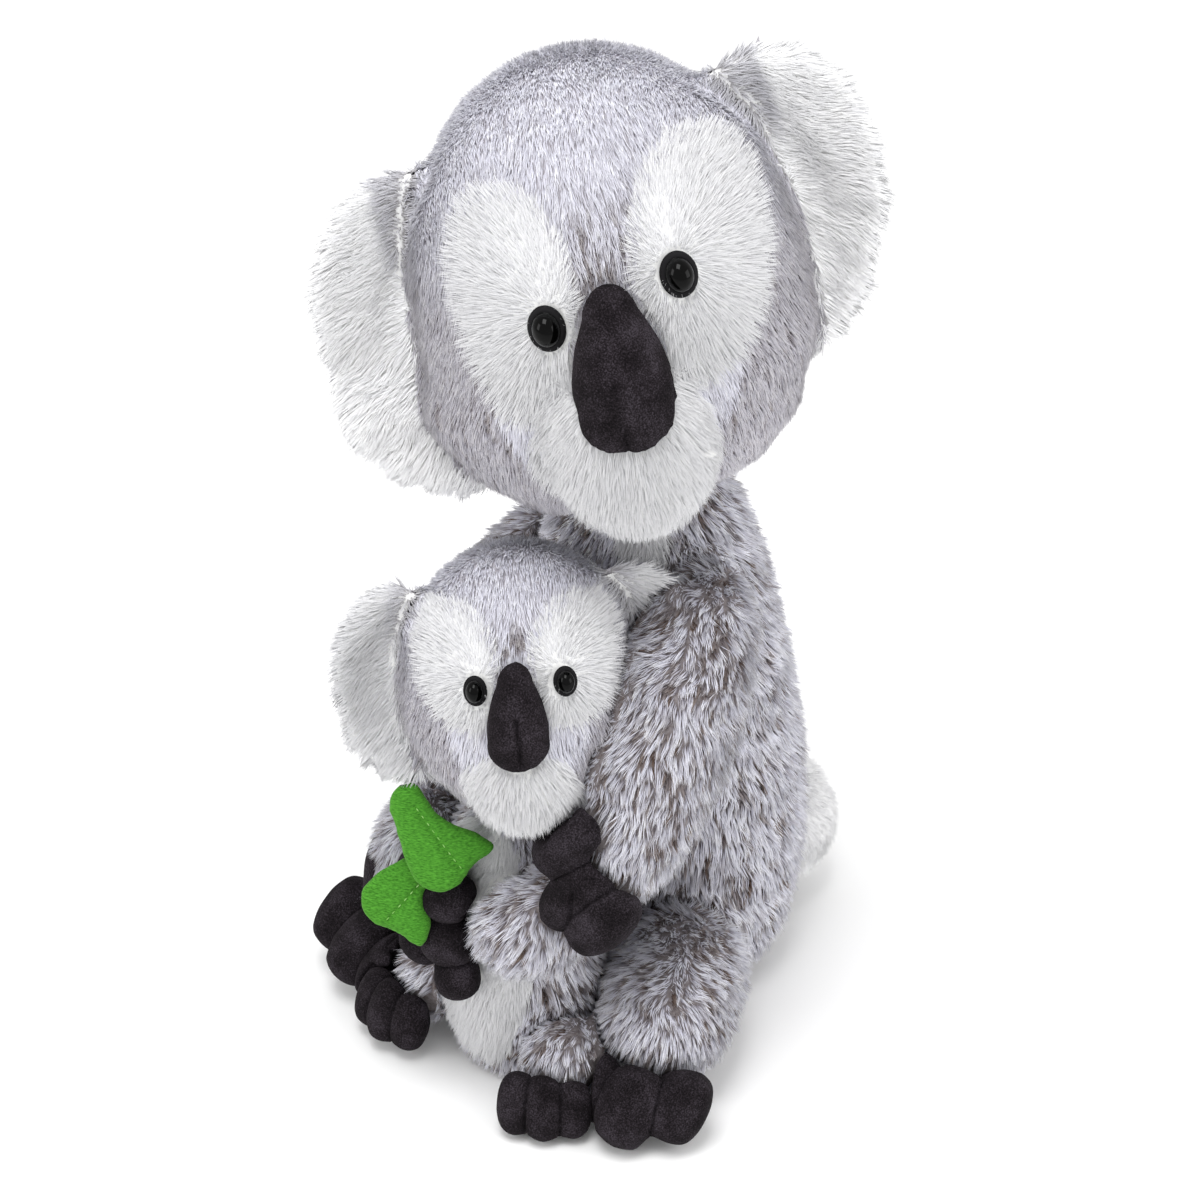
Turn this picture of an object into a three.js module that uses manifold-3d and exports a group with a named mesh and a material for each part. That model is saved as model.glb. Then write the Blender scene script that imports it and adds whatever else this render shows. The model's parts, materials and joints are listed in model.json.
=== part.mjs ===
// A seated plush koala that holds her joey, which holds a pair of cloth leaves.
// Millimetres, +Z up. The origin is on the floor under the mother's seat, she faces -Y and her left is +X.
import * as THREE from 'three';
import { mergeVertices } from 'three/addons/utils/BufferGeometryUtils.js';
import Module from 'manifold-3d';

const wasm = await Module();
wasm.setup();

// Driving dimensions shared by both animals
const seamGap = 0.3;              // clearance between pieces that are sewn or pressed together
const seatPress = 0.5;            // how much of a soft underside is pressed flat
const plushDepth = 3.2;           // thickness of a plush panel that is sewn into another skin
const plushProud = 0.6;           // how far such a panel stands above that skin
const headTurnDegrees = 10;       // how far the mother's head turns each way
const armOpenDegrees = 20;        // how far each of her arms opens outwards
const legOpenDegrees = 15;        // how far each of her legs opens outwards
const cutReach = 400;             // overrun of flat cuts

// How each head stands: turned by yaw, raised by pitch and leaned by roll
const headDegrees = {
  mother: { yawDegrees: 42, pitchDegrees: 14, rollDegrees: 13 },
  baby: { yawDegrees: 42, pitchDegrees: 14, rollDegrees: 5 },
};

// The mother's sizes
const mother = {
  body: { height: 196, width: 86, depth: 78, back: 14 },
  head: { width: 107, depth: 98, height: 136, place: [0, -16, 247.5], lean: 'mother' },
  bib: { width: 46, height: 76, middle: 148 },
  tail: { width: 50, height: 48, depth: 50, lift: 28, back: 60 },
  muzzle: { width: 54, depth: 44, height: 62 },
  nose: { width: 29, depth: 25, height: 50 },
  eye: { width: 10.4, height: 12.8, dome: 5, rim: 0.9, sink: 1.2, shank: 4, reach: 13 },
  washer: { width: 14, thickness: 1.6, hub: 7.4, hubHeight: 3.6, inset: 6.4 },
  ear: { width: 70, height: 99, thickness: 7, cup: 9, lining: 3.4 },
  arm: { length: 118, thickness: 44 },
  hand: { length: 31, width: 18, thickness: 16.5 },
  leg: { length: 76, thickness: 45 },
  foot: { length: 34, width: 19, thickness: 18 },
  seatBag: { width: 46, depth: 42, height: 20, lift: 13, slit: 1.2 },
};

// The joey's sizes
const baby = {
  body: { height: 108, width: 54, depth: 46, back: -53 },
  head: { width: 69, depth: 64, height: 86, place: [5, -58, 137], lean: 'baby' },
  bib: { width: 34, height: 84, middle: 50 },
  muzzle: { width: 36, depth: 30, height: 37 },
  nose: { width: 18.5, depth: 16, height: 34 },
  eye: { width: 6.8, height: 8.8, dome: 3.4, rim: 0.6, sink: 0.9, shank: 3, reach: 10.5 },
  washer: { width: 10, thickness: 1.4, hub: 5.8, hubHeight: 2.8, inset: 5.6 },
  ear: { width: 44, height: 63, thickness: 6, cup: 6, lining: 2.8 },
  arm: { length: 46, thickness: 36 },
  hand: { length: 19, width: 15, thickness: 16 },
  leg: { length: 36, thickness: 31 },
  foot: { length: 21, width: 12, thickness: 12 },
};

// The leaves' sizes
const leaf = { length: 41, thickness: 4.2 };
const leafDegrees = { yawDegrees: 40, pitchDegrees: 22, lowerDegrees: -77 };

// Shapes as shares of the sizes above. Each row of a skin is [along, sideways, width, depth].
const motherBodyShares = [
  [0, 0, 0.66, 0.7], [0.14, 0.02, 0.9, 0.93], [0.3, 0.03, 1, 1], [0.46, 0, 1, 1.02],
  [0.62, -0.07, 0.95, 0.98], [0.78, -0.13, 0.84, 0.88], [0.9, -0.17, 0.7, 0.76], [1, -0.2, 0.56, 0.62],
];
const babyBodyShares = [
  [0, 0, 0.76, 0.78], [0.2, -0.02, 1, 1], [0.45, -0.03, 1, 1], [0.7, -0.06, 0.86, 0.9], [1, -0.1, 0.6, 0.66],
];
const motherHeadShares = [
  [0, 0, 1.04, 0.88], [0.2, 0, 1.13, 1], [0.42, 0, 1.05, 1.02], [0.65, 0, 1, 1], [0.85, 0, 0.95, 0.95],
  [1, 0, 0.88, 0.88],
];
const babyHeadShares = [
  [0, 0, 0.84, 0.8], [0.2, 0, 1, 0.97], [0.42, 0, 1.02, 1.02], [0.65, 0, 1, 1], [0.85, 0, 0.95, 0.95],
  [1, 0, 0.88, 0.88],
];
const noseShares = [
  [0, 0, 0.84, 0.84], [0.3, 0, 1, 1], [0.55, 0, 0.96, 0.97], [0.8, 0, 0.78, 0.82], [1, 0, 0.6, 0.66],
];
// Places on the head, as shares of half its width and half its height from its middle
const motherFaceShares = {
  leftPatch: { place: [0.5, 0.125], size: [0.36, 0.5], tiltDegrees: 9, toNose: 0.12 },
  rightPatch: { place: [-0.43, 0.09], size: [0.33, 0.495], tiltDegrees: 1, toNose: 0.1 },
  leftEye: { place: [0.39, 0.1] },
  rightEye: { place: [-0.31, 0.01] },
  muzzle: { place: [-0.04, -0.53], out: 0.71 },
  nose: { place: [0, -0.215], out: 1.02, tiltDegrees: -4 },
  leftEar: { place: [0.89, 0.16], back: 0.16, tiltDegrees: 14 },
  rightEar: { place: [-0.93, -0.02], back: 0.16, tiltDegrees: -5 },
};
const babyFaceShares = {
  leftPatch: { place: [0.46, 0.28], size: [0.375, 0.42], tiltDegrees: 4, toNose: 0.08 },
  rightPatch: { place: [-0.46, 0.3], size: [0.355, 0.42], tiltDegrees: -4, toNose: 0.08 },
  leftEye: { place: [0.39, 0.2] },
  rightEye: { place: [-0.34, 0.19] },
  muzzle: { place: [-0.03, -0.5], out: 0.68 },
  nose: { place: [-0.02, 0], out: 1.02, tiltDegrees: -3 },
  leftEar: { place: [0.96, 0.1], back: 0.12, tiltDegrees: 0 },
  rightEar: { place: [-0.96, 0.1], back: 0.12, tiltDegrees: 0 },
};
// Limb roots as shares of half the body's width, of its depth and of its height.
// Routes as shares of the limb's length, and girths as shares of its thickness
const motherArmShares = {
  root: { left: [0.68, -0.18, 0.845], right: [0.48, 0, 0.81] },
  route: {
    left: [[0, 0, 0], [0.11, -0.24, -0.2], [0.11, -0.42, -0.49], [0.09, -0.57, -0.765]],
    right: [[0, 0, 0], [0.12, -0.24, -0.2], [0.13, -0.42, -0.48], [0.1, -0.57, -0.74]],
  },
  width: [0.86, 1, 1, 0.9],
};
// Where her arms and legs hinge as they open, in the same shares, and the steps between shut and open
const shoulderShares = { left: [0.88, 0.05], right: [0.79, 0.205] };
const hipShares = [1.02, 0.05];
const openShares = [0, 0.06, 0.12, 0.18, 0.24, 0.32, 0.42, 0.56, 0.7, 0.85, 1];
const motherLegShares = {
  root: { left: [0.62, -0.2, 0.175], right: [0.62, -0.2, 0.18] },
  route: {
    left: [[0, 0, 0], [0.16, -0.36, -0.08], [0.41, -0.755, -0.14]],
    right: [[0, 0, 0], [0.32, -0.36, 0.08], [0.37, -0.72, 0]],
  },
  width: [1.02, 1.04, 0.94],
};
const babyArmShares = {
  root: { left: [0.74, -0.02, 0.76], right: [0.74, -0.02, 0.76] },
  route: {
    left: [[0, 0, 0], [0.13, -0.3, -0.27], [-0.34, -0.62, -0.48]],
    right: [[0, 0, 0], [0.13, -0.28, -0.24], [-0.06, -0.52, -0.46]],
  },
  width: [0.8, 1, 0.9],
};
const babyLegShares = {
  root: { left: [0.6, 0.02, 0.18], right: [0.6, 0.02, 0.18] },
  route: {
    left: [[0, 0, 0], [0.28, -0.33, -0.05], [0.41, -0.72, -0.15]],
    right: [[0, 0, 0], [0.28, -0.33, -0.02], [0.39, -0.67, -0.09]],
  },
  width: [0.98, 1, 0.92],
};
// Claws: each row is one lobe's root and tip from the limb's end, as shares of the hand's or foot's length
const motherHandShares = {
  left: [
    [[0.18, -0.09, 1.24], [-0.37, -0.25, 0.57]],
    [[0.34, -0.09, 0.8], [-0.29, -0.28, 0]],
    [[0.58, -0.09, 0.56], [0.07, -0.28, -0.1]],
  ],
  right: [
    [[0.02, -0.25, -0.05], [-0.42, -0.62, -0.62]],
    [[0.2, -0.25, -0.2], [-0.16, -0.72, -0.95]],
    [[0.44, -0.25, -0.25], [0.16, -0.66, -1.08]],
  ],
};
const motherFootShares = {
  left: [
    [[-0.55, 0.04, 0], [-0.5, -0.38, -0.59]],
    [[-0.11, 0.04, 0], [-0.09, -0.47, -0.59]],
    [[0.23, 0.27, 0], [0.2, -0.14, -0.57]],
  ],
  right: [
    [[0.36, 0.15, -0.2], [0.5, -0.35, -0.76]],
    [[-0.09, -0.04, -0.24], [0.15, -0.55, -0.82]],
    [[-0.55, -0.16, -0.24], [-0.3, -0.62, -0.85]],
  ],
};
const babyFootShares = {
  left: [
    [[-0.3, -0.2, 0.3], [-0.15, -0.48, -0.6]],
    [[0.04, -0.02, 0.34], [0.26, -0.33, -0.6]],
    [[0.3, 0.24, 0.3], [0.53, 0.02, -0.6]],
  ],
  right: [
    [[-0.36, -0.01, 0.3], [-0.38, -0.33, -0.6]],
    [[0.02, -0.04, 0.34], [0.05, -0.42, -0.6]],
    [[0.38, 0.05, 0.3], [0.46, -0.27, -0.6]],
  ],
};
const babyHandShares = {
  left: [
    [[0.1, 0.11, 0.69], [-0.66, -0.21, 0.5]],
    [[0.12, 0.11, -0.11], [-0.7, -0.26, -0.28]],
    [[0.16, 0.11, -0.76], [-0.46, -0.21, -0.9]],
  ],
  right: [
    [[0.26, -0.1, 0.74], [-0.56, -0.16, 0.63]],
    [[0.26, -0.16, 0.05], [-0.7, -0.21, -0.05]],
    [[0.26, -0.1, -0.63], [-0.52, -0.16, -0.74]],
  ],
};
const pawLobeShares = [0.95, 1, 0.96];
// How much of a soft underside the floor presses in, as a share of the body's height or the limb's thickness
const pressShares = { body: 0.1, leg: 0.12, foot: 0.2 };
// An ear's lining as shares of its back, and how far it is shifted outwards and down
const liningShares = { width: 0.97, height: 0.97, cup: 0.9, out: 0.01, down: 0.01 };
// The slit that the pellet bag goes in by, as shares of the bag
const slitShares = { depth: 0.5, height: 1.5, back: 0.4 };
// A leaf's outline as shares of its length from its middle.
// Where the two leaves lie, as shares of the joey's width, depth and height
const leafOutlineShares = [
  [0.45, 0], [0.23, 0.13], [0.02, 0.2], [-0.1, 0.37], [-0.24, 0.56], [-0.37, 0.5], [-0.39, 0.37],
  [-0.31, 0.19], [-0.24, -0.06], [-0.16, -0.26], [0, -0.38], [0.08, -0.37], [0.19, -0.24], [0.25, -0.12],
];
const leafPlaceShares = { upper: [-0.02, -0.76, 0.85], lower: [-0.19, -0.84, 0.67] };

// How bluntly each kind of form ends: 2 is round, more is blunter
const fullnessShares = {
  body: 5, head: 2.2, ball: 2, nose: 2.4, limb: 3.4, lobe: 4.5, bag: 2.6, patch: 2.4,
};

// Counts of rings and sides of the stuffed forms
const counts = {
  body: [11, 18], smallBody: [8, 14], head: [11, 18], smallHead: [9, 16], limb: [7, 12], lobe: [5, 8],
  ball: [7, 12], ear: [8, 14], leaf: [6, 18], eye: 12, plug: 26,
};

const half = (size) => size / 2;
const radians = THREE.MathUtils.degToRad;
const vector = (shares, size) => new THREE.Vector3(...shares).multiplyScalar(size);
const sides = [['left', 1], ['right', -1]];
const sideName = (side) => (side > 0 ? 'left' : 'right');
const sidewaysAxis = new THREE.Vector3(1, 0, 0);
const frontAxis = new THREE.Vector3(0, -1, 0);
const upAxis = new THREE.Vector3(0, 0, 1);

// A closed skin from rows of points, each row a ring, with a single point at each end
function ringSkin(rings, sideCount, pointAt) {
  const positions = [];
  for (let ring = 0; ring <= rings; ring += 1) {
    const atPole = ring === 0 || ring === rings;
    for (let step = 0; step < (atPole ? 1 : sideCount); step += 1) {
      positions.push(...pointAt(ring / rings, (2 * Math.PI * step) / sideCount).toArray());
    }
  }
  const faces = [];
  const first = (ring) => (ring === 0 ? 0 : 1 + (ring - 1) * sideCount);
  for (let ring = 0; ring < rings; ring += 1) {
    for (let step = 0; step < sideCount; step += 1) {
      const next = (step + 1) % sideCount;
      const last = ring === rings - 1;
      const [a, b] = ring ? [first(ring) + step, first(ring) + next] : [0, 0];
      const [c, d] = last ? [first(rings), first(rings)] : [first(ring + 1) + step, first(ring + 1) + next];
      if (ring) faces.push(a, b, c);
      if (!last) faces.push(b, d, c);
    }
  }
  const geometry = new THREE.BufferGeometry();
  geometry.setAttribute('position', new THREE.Float32BufferAttribute(positions, 3));
  geometry.setIndex(faces);
  return geometry;
}

// A stuffed skin along a route, with its girth from rows of [width, depth] and a round end at each end
function stuffedForm({ route, girths, across, blunt, count: [rings, sideCount] }) {
  const line = new THREE.CatmullRomCurve3(route);
  const girth = new THREE.CatmullRomCurve3(girths.map((pair) => new THREE.Vector3(...pair, 0)));
  return ringSkin(rings, sideCount, (share, turn) => {
    const along = (1 - Math.cos(Math.PI * share)) / 2;
    const drawn = Math.sqrt(Math.max(0, 1 - Math.abs(2 * along - 1) ** blunt));
    const tangent = line.getTangent(along);
    const wide = across.clone().addScaledVector(tangent, -across.dot(tangent)).normalize();
    const deep = tangent.clone().cross(wide);
    const { x: width, y: depth } = girth.getPoint(along);
    return line.getPoint(along)
      .addScaledVector(wide, half(width) * drawn * Math.cos(turn))
      .addScaledVector(deep, half(depth) * drawn * Math.sin(turn));
  });
}

// A stuffed skin that stands upright on its own middle
function eggForm({ width, depth, height, shares, count, blunt = fullnessShares.ball }) {
  const route = shares.map(([along, lean]) => new THREE.Vector3(0, lean * depth, (along - 1 / 2) * height));
  const girths = shares.map(([, , wide, deep]) => [wide * width, deep * depth]);
  return stuffedForm({ route, girths, across: sidewaysAxis, blunt, count });
}

const ballShares = [[0, 0, 1, 1], [1, 0, 1, 1]];

// A padded form between two faces of one outline, in the XZ plane and facing -Y
function paddedForm(outline, thickness, [rings, sideCount]) {
  return ringSkin(rings, sideCount, (share, turn) => {
    const spread = Math.sin(Math.PI * share);
    const point = outline(turn / (2 * Math.PI)).multiplyScalar(spread);
    return new THREE.Vector3(point.x, half(thickness) * Math.cos(Math.PI * share), point.y);
  });
}

// Presses a soft form's underside flat, so that a thin cut leaves a broad face to rest on
function pressed(geometry, softness) {
  const { position } = geometry.attributes;
  for (let i = 0; i < position.count; i += 1) {
    const rise = Math.max(0, position.getZ(i)) / softness;
    if (rise < 1) position.setZ(i, (softness + seatPress) * rise ** 2 - seatPress);
  }
  return geometry;
}

// Merges a geometry's shared corners and moves each along its normal by grow
function grown(geometry, grow) {
  const bare = geometry.clone();
  bare.deleteAttribute('normal');
  bare.deleteAttribute('uv');
  const merged = mergeVertices(bare);
  if (!grow) return merged;
  merged.computeVertexNormals();
  const { position, normal } = merged.attributes;
  for (let i = 0; i < position.count; i += 1) {
    const [x, y, z] = [position.getX(i), position.getY(i), position.getZ(i)];
    position.setXYZ(i, x + grow * normal.getX(i), y + grow * normal.getY(i), z + grow * normal.getZ(i));
  }
  return merged;
}

// One manifold of one or more geometries, each grown by the same amount
function solidOf(geometries, grow = 0) {
  return [geometries].flat().map((geometry) => {
    const merged = grown(geometry, grow);
    return new wasm.Manifold(new wasm.Mesh({
      numProp: 3,
      vertProperties: new Float32Array(merged.attributes.position.array),
      triVerts: new Uint32Array(merged.index.array),
    }));
  }).reduce((joined, next) => joined.add(next));
}

const cut = (solid, ...cutters) => cutters.flat().reduce((left, cutter) => left.subtract(cutter), solid);

// The largest body of a solid, without the crumbs that cuts leave
const mainBody = (solid) => solid.decompose()
  .reduce((most, next) => (next.volume() > most.volume() ? next : most));

// A copy of a form turned about an upright line through a place
function turned(geometry, degrees, [x, y]) {
  return geometry.clone().translate(-x, -y, 0).rotateZ(radians(degrees)).translate(x, y, 0);
}

// What takes off the soft undersides that the floor presses
const belowFloor = solidOf(
  new THREE.BoxGeometry(2 * cutReach, 2 * cutReach, cutReach).translate(0, 0, -half(cutReach)));

const forms = {};

// The space that forms need while they turn by each of the given angles about a place
const swept = (names, angles, place, grow = 2 * seamGap) => names.flatMap((name) => [forms[name]].flat())
  .flatMap((form) => angles.map((angle) => turned(form, angle, place)))
  .map((form) => solidOf(form, grow)).reduce((joined, next) => joined.add(next));
// The room that other pieces leave round forms, with a body's proud panel counted in
const clearOf = (...names) => names
  .map((name) => solidOf(forms[name], name.endsWith('_body') ? plushProud + seamGap : seamGap));

// Where a head stands
function headPlace({ place, lean }) {
  const { yawDegrees, pitchDegrees, rollDegrees } = headDegrees[lean];
  const turn = new THREE.Euler(radians(-pitchDegrees), radians(-rollDegrees), radians(yawDegrees), 'ZXY');
  return new THREE.Matrix4().makeRotationFromEuler(turn).setPosition(...place);
}

// An oval plug along -Y that marks out a sewn panel, and whose lower end may lean sideways
function panelPlug({ width, height, reach, tiltDegrees = 0, lean = 0, place: [x, z] }) {
  const rounded = (share) => Math.sign(share) * Math.abs(share) ** (2 / fullnessShares.patch);
  const oval = new THREE.Shape([...Array(counts.plug).keys()].map((step) => {
    const turn = (2 * Math.PI * step) / counts.plug;
    const [across, up] = [rounded(Math.cos(turn)), rounded(Math.sin(turn))];
    return new THREE.Vector2(half(width) * across + lean * Math.min(0, up) ** 2, half(height) * up);
  }));
  const settings = { depth: reach, bevelEnabled: false };
  return new THREE.ExtrudeGeometry(oval, settings)
    .rotateX(radians(90)).rotateY(radians(tiltDegrees)).translate(x, 0, z);
}

// A panel let into a skin, and the recess that takes it
function letIn(skin, plugOf) {
  const panel = cut(solidOf(skin, plushProud).intersect(solidOf(plugOf(0))), solidOf(skin, -plushDepth));
  const recess = cut(solidOf(plugOf(seamGap)), solidOf(skin, -plushDepth - seamGap));
  return { panel, recess };
}

// A safety eye that looks along -Y from the skin: an oval dome with a rim, and a round shank behind it
function eyeForms({ width, height, dome, rim, sink, shank, reach }) {
  const domeSteps = 3;
  const outline = [[0, sink], [half(width) - rim, sink], [half(width), 0]];
  for (let step = 0; step < domeSteps; step += 1) {
    const turn = half(Math.PI) * (step / domeSteps);
    outline.push([half(width) * Math.cos(turn), -rim - (dome - rim) * Math.sin(turn)]);
  }
  outline.push([0, -dome]);
  const button = new THREE.LatheGeometry(outline.map(([x, y]) => new THREE.Vector2(x, -y)), counts.eye);
  button.scale(1, -1, height / width);
  flipFaces(button);
  const post = new THREE.CylinderGeometry(half(shank), half(shank), reach, counts.eye);
  return [button, post.translate(0, half(reach), 0)];
}

// Turns a geometry's faces over after a mirroring
function flipFaces(geometry) {
  const { index } = geometry;
  for (let i = 0; i < index.count; i += 3) {
    const held = index.getX(i);
    index.setX(i, index.getX(i + 1));
    index.setX(i + 1, held);
  }
}

// The washer that locks a shank: a disc and a hub round a bore, or without one as the pocket's shape
function washerForm({ width, thickness, hub, hubHeight, inset }, bore) {
  const outline = [
    [bore, inset], [half(width), inset], [half(width), inset + thickness], [half(hub), inset + thickness],
    [half(hub), inset + thickness + hubHeight], [bore, inset + thickness + hubHeight],
  ];
  if (bore) outline.push([bore, inset]);
  return new THREE.LatheGeometry(outline.map(([x, y]) => new THREE.Vector2(x, y)), counts.eye);
}

// One layer of an ear: a disc in the XZ plane, cupped towards -Y at its rim
function earForm({ width, height, thickness, cup, shift: [x, y, z] = [0, 0, 0] }) {
  const oval = (share) => new THREE.Vector2(Math.cos(2 * Math.PI * share), Math.sin(2 * Math.PI * share));
  const disc = paddedForm(oval, thickness, counts.ear);
  const { position } = disc.attributes;
  for (let i = 0; i < position.count; i += 1) {
    const [u, w, v] = [position.getX(i), position.getY(i), position.getZ(i)];
    position.setXYZ(i, x + half(width) * u, y + w - cup * (u * u + v * v), z + half(height) * v);
  }
  return disc;
}

function bodyForm({ height, width, depth, back }, shares, count) {
  const sink = pressShares.body * height;
  const egg = eggForm({ width, depth, height: height + sink, shares, count, blunt: fullnessShares.body });
  return pressed(egg.translate(0, back, half(height - sink)), sink);
}

function limbRoot(body, { root }, side) {
  const [out, back, up] = root[sideName(side)];
  return new THREE.Vector3(side * out * half(body.width), body.back + back * body.depth, up * body.height);
}

function limbForm({ length, thickness }, shares, body, side) {
  const root = limbRoot(body, shares, side);
  const route = shares.route[sideName(side)]
    .map((step) => vector(step, length).multiply(new THREE.Vector3(side, 1, 1)).add(root));
  const girths = shares.width.map((share) => [share * thickness, share * thickness]);
  const { limb: count } = counts;
  const form = stuffedForm({ route, girths, across: sidewaysAxis, blunt: fullnessShares.limb, count });
  return { form, end: route.at(-1) };
}

// Three lobes side by side, with the sewn channels where they meet
function pawForms({ length, width, thickness }, lobes, end, side, across) {
  return lobes[sideName(side)].map((places) => {
    const [root, tip] = places
      .map((shares) => vector(shares, length).multiply(new THREE.Vector3(side, 1, 1)).add(end));
    const route = [root, root.clone().lerp(tip, 1 / 2), tip];
    const girths = pawLobeShares.map((share) => [share * width, share * thickness]);
    return stuffedForm({ route, girths, across, blunt: fullnessShares.lobe, count: counts.lobe });
  });
}

// How far a head's skin stands in front of its middle at a place of the face
function skinReach({ width, depth, height }, [x, z]) {
  return half(depth) * Math.sqrt(1 - (x / half(width)) ** 2 - (z / half(height)) ** 2);
}

function makeForms(prefix, sizes, shares) {
  const { head, ear, body } = sizes;
  const matrix = headPlace(head);
  const onHead = (geometry) => geometry.applyMatrix4(matrix);
  const facePlace = ([across, up]) => [across * half(head.width), up * half(head.height)];
  const small = prefix === 'baby';

  forms[`${prefix}_body`] = bodyForm(body, shares.body, small ? counts.smallBody : counts.body);
  const headCount = small ? counts.smallHead : counts.head;
  forms[`${prefix}_head`] = onHead(
    eggForm({ ...head, shares: shares.head, blunt: fullnessShares.head, count: headCount }));

  const { muzzle, nose } = shares.face;
  const [muzzleX, muzzleZ] = facePlace(muzzle.place);
  forms[`${prefix}_muzzle`] = onHead(
    eggForm({ ...sizes.muzzle, shares: ballShares, count: counts.ball })
      .translate(muzzleX, -muzzle.out * half(head.depth), muzzleZ));
  const [noseX, noseZ] = facePlace(nose.place);
  forms[`${prefix}_nose`] = onHead(
    eggForm({ ...sizes.nose, shares: noseShares, blunt: fullnessShares.nose, count: counts.ball })
      .rotateY(radians(-nose.tiltDegrees)).translate(noseX, -nose.out * half(head.depth), noseZ));

  const panels = {};
  for (const [name, side] of sides) {
    // Eyes look halfway between straight ahead and the skin's own slope
    const [x, z] = facePlace(shares.face[`${name}Eye`].place);
    const reach = skinReach(head, [x, z]);
    const slope = new THREE.Vector3(
      x / half(head.width) ** 2, -reach / half(head.depth) ** 2, z / half(head.height) ** 2).normalize();
    const gaze = new THREE.Quaternion().setFromUnitVectors(frontAxis, slope.add(frontAxis).normalize());
    const socket = new THREE.Matrix4().makeRotationFromQuaternion(gaze)
      .setPosition(x, -reach - plushProud, z);
    const atEye = (geometry) => onHead(geometry.applyMatrix4(socket));
    forms[`${prefix}_${name}_eye`] = eyeForms(sizes.eye).map(atEye);
    forms[`${prefix}_${name}_eye_washer`] = atEye(washerForm(sizes.washer, half(sizes.eye.shank) + seamGap));
    forms[`${prefix}_${name}_eye_pocket`] = atEye(washerForm(sizes.washer, 0));

    const { place, size, tiltDegrees, toNose } = shares.face[`${name}Patch`];
    panels[name] = (grow) => onHead(panelPlug({
      width: size[0] * head.width + 2 * grow, height: size[1] * head.height + 2 * grow,
      reach: head.depth, tiltDegrees, lean: -side * toNose * size[0] * head.width, place: facePlace(place),
    }));

    const earPlace = shares.face[`${name}Ear`];
    const [earX, earZ] = facePlace(earPlace.place);
    const layer = (form) => onHead(form.rotateY(radians(earPlace.tiltDegrees))
      .translate(earX, earPlace.back * half(head.depth), earZ));
    forms[`${prefix}_${name}_ear_back`] = layer(earForm(ear));
    forms[`${prefix}_${name}_ear_lining`] = layer(earForm({
      width: liningShares.width * ear.width, height: liningShares.height * ear.height,
      thickness: ear.lining, cup: liningShares.cup * ear.cup,
      shift: [side * liningShares.out * ear.width, -half(ear.thickness), -liningShares.down * ear.height],
    }));

    const arm = limbForm(sizes.arm, shares.arm, body, side);
    const leg = limbForm(sizes.leg, shares.leg, body, side);
    forms[`${prefix}_${name}_arm`] = arm.form;
    forms[`${prefix}_${name}_hand`] = pawForms(sizes.hand, shares.hand, arm.end, side, shares.handAcross);
    forms[`${prefix}_${name}_leg`] = pressed(leg.form, pressShares.leg * sizes.leg.thickness);
    forms[`${prefix}_${name}_foot`] = pawForms(sizes.foot, shares.foot, leg.end, side, sidewaysAxis)
      .map((lobe) => pressed(lobe, pressShares.foot * sizes.foot.thickness));
  }
  return panels;
}

const motherPanels = makeForms('mother', mother, {
  body: motherBodyShares, head: motherHeadShares, face: motherFaceShares, arm: motherArmShares,
  leg: motherLegShares, hand: motherHandShares, foot: motherFootShares, handAcross: frontAxis,
});
const babyPanels = makeForms('baby', baby, {
  body: babyBodyShares, head: babyHeadShares, face: babyFaceShares, arm: babyArmShares,
  leg: babyLegShares, hand: babyHandShares, foot: babyFootShares, handAcross: upAxis,
});
const { tail, seatBag } = mother;
forms.mother_tail = eggForm({ ...tail, shares: ballShares, count: counts.ball })
  .translate(0, tail.back, tail.lift);
forms.mother_seat_bag = eggForm({
  ...seatBag, shares: ballShares, blunt: fullnessShares.bag, count: counts.ball,
}).translate(0, mother.body.back, seatBag.lift + half(seatBag.height));

// The two leaves, one shape turned over the other, held in front of the joey's chest
const leafCurve = new THREE.CatmullRomCurve3(
  leafOutlineShares.map(([x, z]) => new THREE.Vector3(x, z, 0).multiplyScalar(leaf.length)), true);
const leafOutline = (share) => leafCurve.getPoint(share);
for (const [name, turn] of [['upper', 0], ['lower', leafDegrees.lowerDegrees]]) {
  const [x, y, z] = leafPlaceShares[name];
  forms[`leaf_${name}`] = paddedForm(leafOutline, leaf.thickness, counts.leaf)
    .rotateY(radians(-turn))
    .rotateX(radians(-leafDegrees.pitchDegrees))
    .rotateZ(radians(leafDegrees.yawDegrees))
    .translate(x * baby.body.width, baby.body.back + y * baby.body.depth, z * baby.body.height);
}

// The finished pieces

const group = new THREE.Group();
const looks = {
  greyPlush: { color: 0xb3b0ba, roughness: 0.95, metalness: 0 },
  whitePlush: { color: 0xf2f1ef, roughness: 0.95, metalness: 0 },
  suede: { color: 0x38302f, roughness: 0.9, metalness: 0 },
  glossyPlastic: { color: 0x0b0a0b, roughness: 0.12, metalness: 0 },
  nylon: { color: 0xe4e2dc, roughness: 0.5, metalness: 0 },
  greenPlush: { color: 0x4fae1e, roughness: 0.85, metalness: 0 },
  calico: { color: 0xd9d0bd, roughness: 0.9, metalness: 0 },
};

function addPiece(name, look, solid) {
  const { numProp, vertProperties, triVerts } = mainBody(solid).getMesh();
  const geometry = new THREE.BufferGeometry();
  geometry.setAttribute('position', new THREE.BufferAttribute(new Float32Array(vertProperties), numProp));
  geometry.setIndex([...triVerts]);
  const mesh = new THREE.Mesh(geometry, new THREE.MeshStandardMaterial(looks[look]));
  mesh.name = name;
  group.add(mesh);
}

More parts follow.
